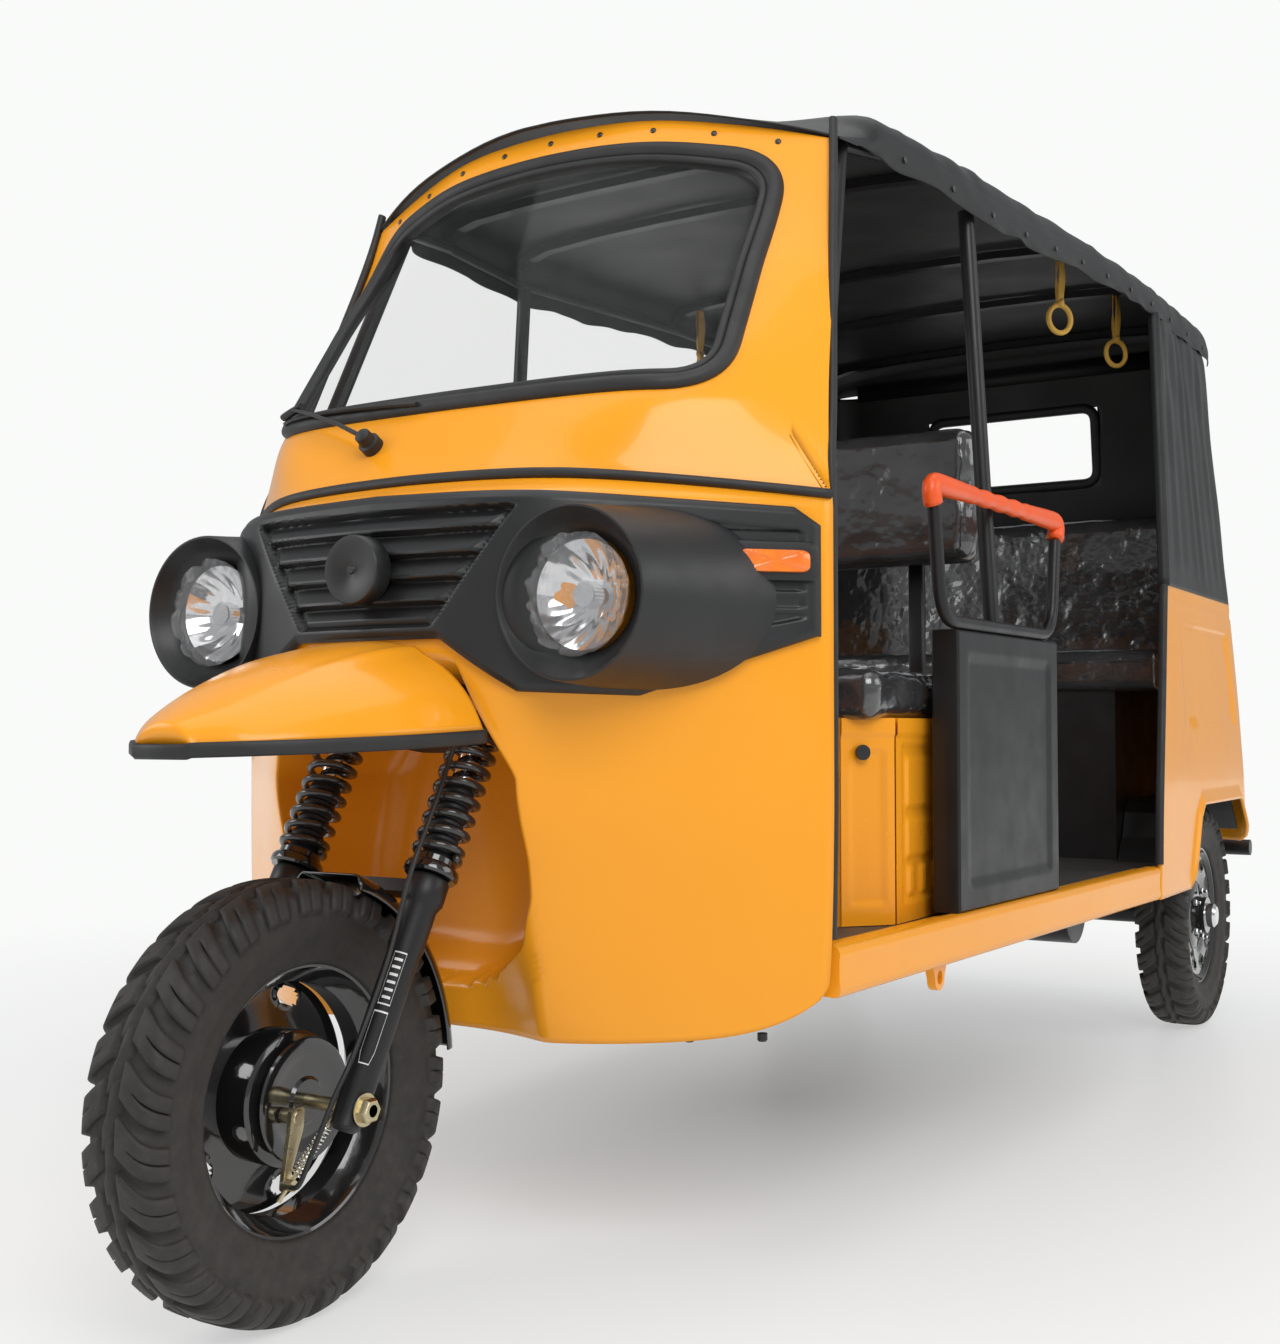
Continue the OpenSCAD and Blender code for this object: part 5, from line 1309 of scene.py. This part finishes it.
def pressed_sheet(width, height, depth, step, margin, radius, rows=52, cols=52):
    """A flat sheet with one pressed field: its depth is a soft step over a rounded rectangle."""
    u, v = np.meshgrid(np.linspace(-width / 2, width / 2, cols), np.linspace(0, height, rows))
    dx = np.abs(u) - (width / 2 - margin - radius)
    dz = np.abs(v - height / 2) - (height / 2 - margin - radius)
    away = np.hypot(np.clip(dx, 0, None), np.clip(dz, 0, None)) + np.minimum(np.maximum(dx, dz), 0) - radius
    return u, v, -depth * ease(-away / step)


def divider_part():
    """A divider panel: two pressed faces joined by folded edges."""
    wide, tall, thick = 0.470, 0.895 - SILL_TOP - 0.0003, 0.048
    u, v, press = pressed_sheet(wide - 0.008, tall - 0.008, 0.004, 0.010, 0.036, 0.010)
    v = v + 0.004
    outer = side_frame(np.stack([press, u, SILL_TOP + 0.0003 + v], -1))
    inner = side_frame(np.stack([-thick - press, u, SILL_TOP + 0.0003 + v], -1))
    rim = []
    for sx, inset in ((0.0, 0.004), (-0.003, 0.0008), (-0.006, 0.0), (-thick + 0.006, 0.0), (-thick + 0.003, 0.0008), (-thick, 0.004)):
        w, lo, hi = wide / 2 - inset, inset, tall - inset
        box = np.array([(-w, lo), (w, lo), (w, hi), (-w, hi)])
        rim.append(side_frame(np.stack([np.full(4, sx), box[:, 0], SILL_TOP + 0.0003 + box[:, 1]], -1)))
    rim = np.stack(rim)
    return [(outer, weave(*u.shape, turn=True)), (inner, weave(*u.shape, turn=False)), (rim, weave(6, 4, wrap_cols=True, turn=True))]


piece("divider_pressings", [(placed(p), f) for p, f in both(divider_part())], "black_paint", node="divider_panels", sharp=30)

HOOP_TOP, HOOP_HALF = 1.085, 0.300


def hoop_part():
    """A bent steel hoop on the divider, with two feet welded to the panel's top."""
    z0 = 0.895 + 0.0113
    corners = np.array([(-HOOP_HALF + 0.020, HOOP_TOP), (-HOOP_HALF + 0.045, z0), (HOOP_HALF - 0.045, z0),
                        (HOOP_HALF - 0.020, HOOP_TOP)])
    route = bent(corners, 0.06, 12)
    path = side_frame(np.stack([np.full(len(route), -0.0085), route[:, 0] - 0.030, route[:, 1]], -1))
    return hose(path, 0.011, 20)


piece("hoop_bars", [(placed(p), f) for p, f in both([hoop_part()])], "black_paint", node="grab_hoops", sharp=60)


def grip_part():
    """The moulded grip: a rounded section that turns down over the hoop's ends, with a shallow waist for the hand."""
    ends = HOOP_HALF
    route = bent(np.array([(-ends + 0.018, HOOP_TOP + 0.003), (-ends + 0.002, HOOP_TOP + 0.036), (ends - 0.002, HOOP_TOP + 0.036),
                           (ends - 0.018, HOOP_TOP + 0.003)]), 0.030, 12)
    length = np.concatenate([[0], np.cumsum(np.linalg.norm(np.diff(route, axis=0), axis=1))])
    at = np.linspace(0, length[-1], 90)
    route = np.stack([np.interp(at, length, route[:, k]) for k in (0, 1)], 1)
    t = at / length[-1]
    wide = 0.0175 - 0.0035 * np.exp(-((t - 0.5) / 0.30) ** 4) + 0.0012 * np.cos((t - 0.5) * 60) * (np.abs(t - 0.5) < 0.2)
    path = side_frame(np.stack([np.full(90, -0.0085), route[:, 0] - 0.030, route[:, 1] + 0.0], -1))
    return hose(path, wide, 24, flat=0.86, up=(1, 0, 0))


piece("grip_mouldings", [(placed(p), f) for p, f in both([grip_part()])], "orange_plastic", node="grab_grips")

# ---------------------------------------------------------------- looks of the nodes that keep their own shape

for part in record["subparts"]:
    own_look = LOOKS[{"lamp_clear": "lens"}.get(part["material_slot"], part["material_slot"])]
    for place in bpy.data.objects[part["node"]].material_slots:
        place.material = own_look

# ---------------------------------------------------------------- rear body and its canvas

# Sections: height, half width, station of the door edge, station of the wall, corner radius
REAR_SECTIONS = np.array([(0.370, 0.600, 2.030, 3.050, 0.110), (0.550, 0.600, 2.042, 3.042, 0.110),
                          (0.760, 0.595, 2.090, 3.010, 0.105), (1.060, 0.582, 2.180, 2.952, 0.100)])
CANVAS_SECTIONS = np.array([(1.0603, 0.582, 2.180, 2.952, 0.100), (1.400, 0.560, 2.235, 2.902, 0.095),
                            (1.7140, 0.542, 2.275, 2.860, 0.090)])
# Wheel arch: station and height of its edge
ARCH_Y = [2.3246, 2.374, 2.400, 2.436, 2.872, 2.935, 3.000, 3.200]
ARCH_Z = [0.370, 0.470, 0.528, 0.558, 0.558, 0.500, 0.440, 0.440]


def facing(part, centre):
    """The same part with its four-sided faces turned away from a centre."""
    points, faces = np.asarray(part[0], float).reshape(-1, 3), np.asarray(part[1])
    a, b, c, d = (points[faces[:, k]] for k in range(4))
    way = np.sum(np.cross(c - a, d - b) * ((a + b + c + d) / 4 - centre))
    return (part[0], (faces[:, ::-1] if way < 0 else faces).tolist(), *part[2:])


def swollen(grid, amount, centre):
    """A grid of points moved along its own normals, away from the centre, by an amount in metres."""
    normal = unit(np.cross(np.gradient(grid, axis=0), np.gradient(grid, axis=1)) + 1e-12)
    if np.sum(normal * (grid - centre)) < 0:
        normal = -normal
    return grid + normal * np.asarray(amount)[..., None]


def creases(points, seed, size, count=9):
    """Crumpled film: a sum of triangle waves in random directions, between -1 and 1, about size metres apart."""
    dice = np.random.default_rng(seed)
    total = 0.0
    for k in range(count):
        way = unit(dice.normal(size=3)) * dice.uniform(0.7, 2.2) / size
        wave = np.abs((points @ way + dice.uniform() + 0.25 * np.sin(points @ dice.normal(size=3) * 14)) % 1.0 - 0.5)
        total = total + (4 * wave - 1) * dice.uniform(0.4, 1.0)
    return total / (0.45 * count)


def plan(u, z, table):
    """The body's plan path: u runs 0-1 along the side, 1-2 round the corner and 2-3 to the middle of the wall."""
    w, y0, wall, r = (flow(z, table[:, 0], table[:, k]) for k in range(1, 5))
    turn = np.clip(u - 1, 0, 1) * math.pi / 2
    x = np.where(u < 1, w, np.where(u < 2, w - r + r * np.cos(turn), (w - r) * (3 - u)))
    y = np.where(u < 1, y0 + (wall - r - y0) * u, wall - r + r * np.sin(turn))
    return x, y


def skin_grid(table, foot, high, rows, u):
    """Points of the body's skin from its foot, a height for each station, up to a height, all the way round."""
    half = np.where(u > 3, 6 - u, u)
    low = np.full(len(u), table[0, 0])
    for _ in range(8):
        low = foot(plan(half, low, table)[1])
    z = low + (high - low) * np.linspace(0, 1, rows)[:, None]
    x, y = plan(np.broadcast_to(half, z.shape), z, table)
    return np.stack([np.where(u > 3, -x, x), y, z], -1)


AROUND = np.concatenate([np.linspace(0, 1, 80), np.linspace(1, 2, 11)[1:], np.linspace(2, 4, 86)[1:],
                         np.linspace(4, 5, 11)[1:], np.linspace(5, 6, 80)[1:]])
REAR_MIDDLE = np.array([0.0, 2.55, 0.9])


def rear_relief(grid):
    """Depth of the rear body's pressings and the turned-out lip of its arches, in metres outwards."""
    x, y, z = grid[..., 0], grid[..., 1], grid[..., 2]
    side = np.abs(x) > 0.5
    field = np.minimum(np.minimum(y - 2.300, 2.860 - 0.21 * (z - 0.745) - y), np.minimum(z - 0.745, 0.985 - z))
    wall = np.minimum(0.380 - np.abs(x), np.minimum(z - 0.640, 0.900 - z))
    depth = -0.005 * ease(np.where(side, field, -1) / 0.010) - 0.005 * ease(np.where(side, -1, wall) / 0.010)
    away = z - np.interp(y, ARCH_Y, ARCH_Z)
    lip = 0.009 * ease(1 - away / 0.030) * (side & (y > 2.33) & (y < 2.99))
    belt = -0.003 * np.exp(-((z - 1.030) / 0.006) ** 2)
    return depth + lip + belt


rear_points = skin_grid(REAR_SECTIONS, lambda y: np.interp(y, ARCH_Y, ARCH_Z), 1.060, 70, AROUND)
rear_points = swollen(rear_points, rear_relief(rear_points), REAR_MIDDLE)
rear_seal = [hose(np.stack([sign * (plan(0 * t, t, REAR_SECTIONS)[0] - 0.004), plan(0 * t, t, REAR_SECTIONS)[1], t], 1),
                  0.009, 10, flat=0.8) for sign in (1, -1) for t in [np.linspace(0.445, 1.06, 40)]]
rear_shell = piece("rear_shell", [facing((placed(rear_points), weave(*rear_points.shape[:2])), placed(REAR_MIDDLE))],
                   "yellow_paint", node="rear_body")
walled(rear_shell, 0.008)
piece("rear_door_rubber", [(placed(p), f) for p, f in rear_seal], "rubber", slot="rubber", sharp=60)

WINDOW_X, WINDOW_LOW, WINDOW_HIGH = 0.235, 1.413, 1.618


def canvas_part():
    """The rear canvas: a skin round the back with soft upright gathers, pulled lines off its corners and a window."""
    corner = 0.442
    mid = np.concatenate([np.linspace(corner, WINDOW_X, 16)[:-1], np.linspace(WINDOW_X, -WINDOW_X, 28),
                          np.linspace(-WINDOW_X, -corner, 16)[1:]])
    u = np.concatenate([np.linspace(0, 1, 72), np.linspace(1, 2, 12)[1:-1], 3 - mid / corner, np.linspace(4, 5, 12)[1:-1],
                        np.linspace(5, 6, 72)])
    z = np.concatenate([np.linspace(1.0603, WINDOW_LOW, 34)[:-1], np.linspace(WINDOW_LOW, WINDOW_HIGH, 20),
                        np.linspace(WINDOW_HIGH, 1.714, 12)[1:]])
    half = np.where(u > 3, 6 - u, u)
    uu, zz = np.meshgrid(half, z)
    x, y = plan(uu, zz, CANVAS_SECTIONS)
    grid = np.stack([np.where(u > 3, -x, x), y, zz], -1)
    flank = ease((1.25 - uu) / 0.5)
    high = (zz - 1.06) / 0.65
    gather = np.sin(44 * uu + 2.2 * np.sin(3.1 * zz + 4 * uu)) * (0.35 + 0.65 * np.sin(2.3 * zz + 9 * uu) ** 2)
    pull = np.sin(26 * (uu * 0.7 + high * 0.55) + 1.5 * np.sin(5 * uu)) * ease((high - 0.35) / 0.5)
    swell = 0.0020 * gather * flank * ease(high / 0.15) + 0.0020 * pull * flank
    swell += 0.0016 * np.sin(17 * zz + 6 * np.sin(4 * x)) * (1 - flank) * ease(high / 0.2)
    swell -= 0.004 * np.exp(-((high - 1.0) / 0.03) ** 2) + 0.002 * np.exp(-((uu - 0.03) / 0.012) ** 2)
    grid = swollen(grid, swell, REAR_MIDDLE + (0, 0, 0.5))
    faces = weave(*zz.shape)
    centre = grid.reshape(-1, 3)[faces].mean(axis=1)
    hole = (np.abs(centre[:, 0]) < WINDOW_X) & (centre[:, 2] > WINDOW_LOW) & (centre[:, 2] < WINDOW_HIGH) & (centre[:, 1] > 2.7)
    return facing((grid, faces[~hole]), REAR_MIDDLE + (0, 0, 0.5))


canvas_back = canvas_part()
window_line = eased([(-WINDOW_X, WINDOW_LOW), (WINDOW_X, WINDOW_LOW), (WINDOW_X, WINDOW_HIGH), (-WINDOW_X, WINDOW_HIGH)], 0.04, 8)
window_wall = plan(np.full(len(window_line), 2.6), window_line[:, 1], CANVAS_SECTIONS)[1]
window_band = hose(np.stack([window_line[:, 0], window_wall - 0.001, window_line[:, 1]], 1), 0.011, 10, loop=True, flat=0.4,
                   up=(0, 1, 0))
canvas_hem = [hose(np.stack([sign * (plan(0 * t, t, CANVAS_SECTIONS)[0] - 0.003), plan(0 * t, t, CANVAS_SECTIONS)[1] + 0.002, t], 1),
                   0.010, 10, flat=0.6) for sign in (1, -1) for t in [np.linspace(1.06, 1.700, 40)]]
top_hem = brick((-0.455, 2.846, 1.700), (0.455, 2.852, 1.748))
back_sheet = piece("rear_sheet", [(placed(p), f) for p, f in [canvas_back, window_band, top_hem] + canvas_hem], "canvas",
                   node="rear_canvas")
walled(back_sheet, 0.003)

# ---------------------------------------------------------------- roof canvas

# Sections: station, half width, edge height, crown height, sweep of the ends, squareness of the shoulders
ROOF_SECTIONS = np.array([
    (0.572, 0.456, 1.630, 1.699, 0.130, 0.0), (0.700, 0.462, 1.638, 1.716, 0.090, 0.5), (0.850, 0.474, 1.646, 1.730, 0.0, 1.0),
    (1.190, 0.507, 1.645, 1.752, 0.0, 1.0), (1.870, 0.527, 1.697, 1.789, 0.0, 1.0), (2.320, 0.540, 1.717, 1.803, 0.0, 1.0),
    (2.800, 0.544, 1.717, 1.812, 0.0, 1.0), (2.866, 0.538, 1.717, 1.779, 0.0, 1.0), (2.876, 0.536, 1.717, 1.727, 0.0, 1.0)])
SHOULDER = np.array([(1, 0), (1, 0.3), (0.985, 0.55), (0.95, 0.74), (0.86, 0.86), (0.6, 0.95), (0.3, 0.99), (0, 1)])
BOWS = (0.920, 1.190, 1.870, 2.320, 2.780)


def roof_part():
    """The roof's sheet: its section runs from a hanging edge over the shoulder to the crown, sags between the bows,
    is pulled in short folds along the shoulders and hangs in shallow scallops between its studs."""
    y = np.concatenate([np.linspace(0.572, 2.80, 180), np.linspace(2.80, 2.876, 16)[1:]])
    across = np.concatenate([np.linspace(-0.9, 0, 6)[:-1], 7 * np.linspace(0, 1, 36) ** 1.15])
    yy, t = np.meshgrid(y, across, indexing="ij")
    w, low, high, sweep, square = (flow(yy, ROOF_SECTIONS[:, 0], ROOF_SECTIONS[:, k]) for k in range(1, 6))
    k = np.clip(t, 0, 7)
    p0, p1 = np.interp(k, range(8), SHOULDER[:, 0]), np.interp(k, range(8), SHOULDER[:, 1])
    soft = [np.interp(np.clip(k + d, 0, 7), range(8), SHOULDER[:, j]) for j in (0, 1) for d in (-0.45, 0.45)]
    p0, p1 = 0.5 * p0 + 0.25 * (soft[0] + soft[1]), 0.5 * p1 + 0.25 * (soft[2] + soft[3])
    rise = (1 - p0 ** 2) * (1 - square) + p1 * square
    hang = np.clip(-t, 0, 1)
    flat = ease((yy - 0.66) / 0.2)
    scallop = 0.016 + 0.007 * np.abs(np.sin(math.pi * yy / 0.34)) + 0.002 * np.sin(31 * yy)
    z = low + rise * (high - low) - hang * scallop * flat
    x = p0 * w + hang * 0.003 * np.sin(38 * yy + 2 * np.sin(9 * yy)) * flat
    grid = np.stack([x, yy + sweep * p0 ** 2, z], -1)
    grid = np.concatenate([grid, (grid * (-1, 1, 1))[:, -2::-1]], axis=1)
    t = np.concatenate([t, t[:, -2::-1]], axis=1)
    yy = np.concatenate([yy, yy[:, -2::-1]], axis=1)
    bay = np.interp(yy, BOWS, range(len(BOWS)))
    sag = np.sin(math.pi * (bay % 1.0)) ** 2 * ease((t - 2.2) / 2.0) * (yy > BOWS[0])
    shoulder = np.exp(-((t - 2.4) / 1.5) ** 2) * ease((yy - 0.75) / 0.3)
    folds = np.sin(41 * yy + 3.0 * np.sin(5.3 * yy) + 0.9 * t) * (0.3 + 0.7 * np.sin(6.7 * yy + grid[..., 0]) ** 2)
    ribs = sum(np.exp(-((yy - b) / 0.014) ** 2) for b in BOWS) * ease((t - 1.0) / 1.5)
    seam = np.exp(-((t - 1.15) / 0.10) ** 2)
    swell = 0.0017 * shoulder * folds - 0.006 * sag + 0.0018 * ribs - 0.0012 * seam
    swell += 0.0010 * np.sin(23 * grid[..., 0] + 4 * np.sin(7 * yy)) * ease((t - 3) / 2)
    return swollen(grid, swell, np.array([0, 1.7, 1.2]))


roof_points = roof_part()
stud_y = np.arange(0.90, 2.80, 0.17)
studs = [turned([(0.0, 0.0055), (0.0015, 0.0050), (0.0028, 0.0030), (0.0032, 0.0004)],
                (float(flow(np.array(v), ROOF_SECTIONS[:, 0], ROOF_SECTIONS[:, 1])) + 0.0015, v,
                 float(flow(np.array(v), ROOF_SECTIONS[:, 0], ROOF_SECTIONS[:, 2])) + 0.004), sides=12) for v in stud_y]
roof_sheet = piece("roof_sheet", [facing((placed(roof_points), weave(*roof_points.shape[:2])), placed([0, 1.7, 1.2]))],
                   "canvas", node="roof_canvas")
walled(roof_sheet, 0.003)
piece("roof_studs", [(placed(p), f) for p, f in both(studs)], "spring_steel", slot="spring_steel", smooth=True)

# ---------------------------------------------------------------- seats under clear film


def soft_box(low, high, radius, puff, axis, count=(24, 14, 8), tuck=0.0, seed=1, crumple=0.0):
    """A rounded box of six grids: each point is a core point plus the radius outwards. The face along axis swells by
    puff in a dome, tuck pulls in the middle, and crumple adds the creases of loose film."""
    low, high = np.asarray(low, float), np.asarray(high, float)
    half, mid = (high - low) / 2, (high + low) / 2
    parts = []
    for k in range(3):
        i, j = (k + 1) % 3, (k + 2) % 3
        a, b = np.meshgrid(np.sin(np.linspace(-1, 1, 2 * count[i]) * math.pi / 2 * 0.8) / math.sin(math.pi / 2 * 0.8),
                           np.sin(np.linspace(-1, 1, 2 * count[j]) * math.pi / 2 * 0.8) / math.sin(math.pi / 2 * 0.8))
        for sign in (1, -1):
            p = np.zeros(a.shape + (3,))
            p[..., k], p[..., i], p[..., j] = sign * half[k], a * half[i], b * half[j]
            core = np.clip(p, -(half - radius), half - radius)
            p = core + radius * unit(p - core)
            q = p / half
            others = [n for n in range(3) if n != axis]
            dome = (1 - q[..., others[0]] ** 4) * (1 - q[..., others[1]] ** 2)
            p[..., axis] += puff * dome * np.clip(q[..., axis], 0, 1)
            if tuck:
                p[..., axis] -= tuck * np.exp(-(q[..., others[0]] / 0.02) ** 2) * np.clip(q[..., axis], 0, 1)
            if crumple:
                p += unit(p) * 0 + (p / np.linalg.norm(p / half, axis=-1, keepdims=True) / half.max())\
                    * (crumple * creases(p + mid, seed, 0.11))[..., None]
            parts.append(facing((p + mid, weave(*a.shape)), mid))
    return parts


def piping(low, high, radius, level, axis, thick=0.004):
    """A welt round a cushion at a level along one axis."""
    i, j = [n for n in range(3) if n != axis]
    ring = eased([(low[i], low[j]), (high[i], low[j]), (high[i], high[j]), (low[i], high[j])], radius, 8)
    path = np.zeros((len(ring), 3))
    path[:, i], path[:, j], path[:, axis] = ring[:, 0], ring[:, 1], level
    return hose(path, thick, 10, loop=True, up=tuple(1.0 if n == axis else 0.0 for n in range(3)))


def seat(name, node, low, high, radius, puff, axis, level, seed, tuck=0.0, extra=()):
    """A vinyl cushion with a welt, and loose creased film round it."""
    low, high = np.asarray(low, float), np.asarray(high, float)
    parts = soft_box(low, high, radius, puff, axis, tuck=tuck) + [piping(low, high, radius, level, axis)]
    reach = 0.0045
    film = soft_box(low - reach, high + reach, radius + reach, puff, axis, count=(46, 22, 15), seed=seed, crumple=0.009)
    parts += [(p, f, "wrap") for p, f in film] + list(extra)
    thing = piece(name, [(placed(part[0]), *part[1:]) for part in parts], "vinyl", node=node)
    return thing


seat("driver_seat", "driver_cushion", (-0.470, 0.780, 0.7525), (0.470, 1.220, 0.822), 0.024, 0.012, 2, 0.800, 3)
props = [slab(eased([(x - 0.015, 1.350), (x + 0.015, 1.350), (x + 0.015, 1.366), (x - 0.015, 1.366)], 0.004, 4), 0.4285,
              1.200, "xy") + ("black_paint",) for x in (-0.315, 0.315)]
seat("driver_back", "driver_backrest", (-0.440, 1.290, 1.045), (0.440, 1.350, 1.285), 0.026, -0.006, 1, 1.335, 5, extra=props)
seat("passenger_seat", "bench_cushion", (-0.540, 2.310, 0.8305), (0.540, 2.7395, 0.918), 0.026, 0.016, 2, 0.895, 7)
seat("passenger_back", "bench_backrest", (-0.530, 2.741, 0.8305), (0.530, 2.820, 1.290), 0.028, -0.010, 1, 2.770, 9)

# ---------------------------------------------------------------- hand straps


def strap_part(x, y, top):
    """A loop of webbing from a roof bow: two layers that narrow and cross towards a collar, with a grip ring below."""
    low = top - 0.110
    parts = []
    for side in (1, -1):
        t = np.linspace(0, 1, 30)[:, None]
        s = np.linspace(-1, 1, 9)[None, :]
        wide = 0.0120 - 0.0055 * ease(t)
        twist = side * 0.9 * ease(t) + 0 * s
        gap = side * (0.0032 + 0.004 * np.sin(math.pi * t))
        px = x + gap * np.cos(twist) + wide * s * np.sin(twist)
        py = y + wide * s * np.cos(twist) - gap * np.sin(twist)
        pz = top - 0.0005 - (top - low) * t + 0 * s
        parts.append((np.stack([px, py, pz], -1), weave(30, 9)))
    rings = [hose(np.array([(x, y, low + 0.012), (x, y, low + 0.006), (x, y, low - 0.003)]), [0.0095, 0.0105, 0.0085], 14)]
    ring = np.linspace(0, 2 * math.pi, 49)[:-1]
    path = np.stack([x + 0.017 * np.sin(ring), y + 0.022 * np.sin(ring), low - 0.029 + 0.030 * np.cos(ring)], 1)
    rings.append(hose(path, 0.0058, 12, loop=True, up=(1, 0, 0)))
    return parts, rings


straps, rings = [], []
for bow in (1.870, 2.320):
    w, low_z, high_z = (float(flow(np.array(bow), ROOF_SECTIONS[:, 0], ROOF_SECTIONS[:, k])) for k in (1, 2, 3))
    level = low_z + np.interp(0.442 / (w - 0.0234), SHOULDER[::-1, 0], SHOULDER[::-1, 1]) * (high_z - low_z - 0.006) - 0.0177
    for pile, made in zip((straps, rings), strap_part(0.440, bow, level)):
        pile += made
strap_piece = piece("strap_loops", [(placed(p), f) for p, f in both(straps)], "webbing", node="hand_straps")
walled(strap_piece, 0.0014)
piece("strap_rings", [(placed(p), f) for p, f in both(rings)], "webbing", slot="webbing")

# ---------------------------------------------------------------- small fittings

BOX_HALF, BOX_FRONT, BOX_REAR, BOX_TOP, BOX_CORNER = 0.4704, 0.790, 1.230, 0.752, 0.070
BOX_FOOT = FLOOR_Z + 0.0003


def bump_field(u, z, box, soft=0.005):
    """1 inside a rectangle (u0, u1, z0, z1) and 0 outside it, with a soft edge."""
    return ease(0.5 + np.minimum(np.minimum(u - box[0], box[1] - u), np.minimum(z - box[2], box[3] - z)) / soft)


def box_face(a, b, relief):
    """A pressed face of the seat box from corner a to corner b in plan; relief(u, z) is how far it stands out."""
    a, b = np.asarray(a, float), np.asarray(b, float)
    long = np.linalg.norm(b - a)
    along = (b - a) / long
    out = np.array([along[1], -along[0]])
    u, z = np.meshgrid(np.linspace(0, long, int(long / 0.0046)), np.linspace(BOX_FOOT + 0.001, BOX_TOP - 0.0005, 66))
    h = 0.0004 + relief(u, z, long)
    return np.stack([a[0] + along[0] * u + out[0] * h, a[1] + along[1] * u + out[1] * h, z], -1), weave(*u.shape)


def side_relief(u, z, long):
    """A lid line, a sunk field with two raised pads in it and a row of short ribs at its foot."""
    lid = 0.0034 * ease((z - 0.722) / 0.004)
    field = -0.0040 * bump_field(u, z, (0.030, long - 0.030, BOX_FOOT + 0.035, 0.708), 0.007)
    pads = 0.0036 * (bump_field(u, z, (0.050, 0.165, 0.610, 0.690)) + bump_field(u, z, (0.190, long - 0.050, 0.610, 0.690))
                     + bump_field(u, z, (0.050, long - 0.050, 0.530, 0.592)))
    ribs = 0.0040 * ease(0.5 + 1.6 * np.sin(u * 2 * math.pi / 0.052)) * bump_field(u, z, (0.052, long - 0.052, 0.470, 0.515))
    return 0.0042 + lid + field + pads + ribs


def corner_relief(u, z, long):
    """One tall sunk field under the lid line."""
    return 0.0042 + 0.0034 * ease((z - 0.722) / 0.004)\
        - 0.0040 * bump_field(u, z, (0.018, long - 0.018, BOX_FOOT + 0.035, 0.700), 0.008)


def front_relief(u, z, long):
    """The side's pattern twice over the width."""
    return side_relief(np.where(u < long / 2, u, u - long / 2), z, long / 2)


box_faces = both([box_face((BOX_HALF, BOX_FRONT + BOX_CORNER), (BOX_HALF, BOX_REAR), side_relief),
                  box_face((BOX_HALF - 0.060, BOX_FRONT), (BOX_HALF, BOX_FRONT + BOX_CORNER), corner_relief)])
box_faces.append(box_face((-BOX_HALF + 0.060, BOX_FRONT), (BOX_HALF - 0.060, BOX_FRONT), front_relief))
box_middle = placed([0, 1.0, 0.6])
piece("seat_box_pressings", [facing((placed(p), f), np.array([0.0, box_middle[1], 0.6])) for p, f in box_faces],
      "yellow_paint", slot="yellow_paint")

lock = [turned([(0.0, 0.012), (-0.004, 0.012), (-0.0055, 0.010), (-0.0055, 0.004), (-0.0045, 0.003)], (0.443, 0.8080, 0.698),
               axis=(0.76, -0.65, 0.0), sides=32)]
piece("seat_box_lock", [(placed(p), f) for p, f in lock], "black_plastic", slot="black_plastic", sharp=40)


def pillar_rubber():
    """The rubber along the front shell's rear edge, from the floor to the roof, one side."""
    z = np.linspace(0.452, 1.66, 120)
    _, half, edge, _, _ = section(z)
    return hose(np.stack([half - 0.005, edge + 0.010, z - 0.0], 1), 0.008, 10, flat=0.8)


brow_x = np.linspace(-0.37, 0.37, 9)
screws = [turned([(0.0, 0.0050), (0.0016, 0.0044), (0.0024, 0.0026), (0.0024, 0.0004)], spot, axis=(spot - spot_in), sides=12)
          for spot, spot_in in zip(on_front(brow_x, 1.672 - 0.33 * brow_x ** 2, 0.0002),
                                   on_front(brow_x, 1.672 - 0.33 * brow_x ** 2, -0.01))]
piece("brow_screws", [(placed(p), f) for p, f in screws], "spring_steel", slot="spring_steel")
clip_x = np.array([-0.44, -0.30, 0.30, 0.38, 0.46])
clips = [turned([(-0.003, 0.0), (-0.003, 0.007), (0.006, 0.007), (0.008, 0.005), (0.008, 0.0004)], spot, axis=(0, 0, -1),
                up=(1, 0, 0), sides=14) for spot in on_front(clip_x, np.full(5, 0.318), -0.012) + (0, 0, 0.004)]
piece("foot_clips", [(placed(p), f) for p, f in clips], "black_plastic", slot="black_plastic", sharp=40)
piece("pillar_rubbers", [(placed(p), f) for p, f in both([pillar_rubber()])], "rubber", slot="rubber", sharp=60)
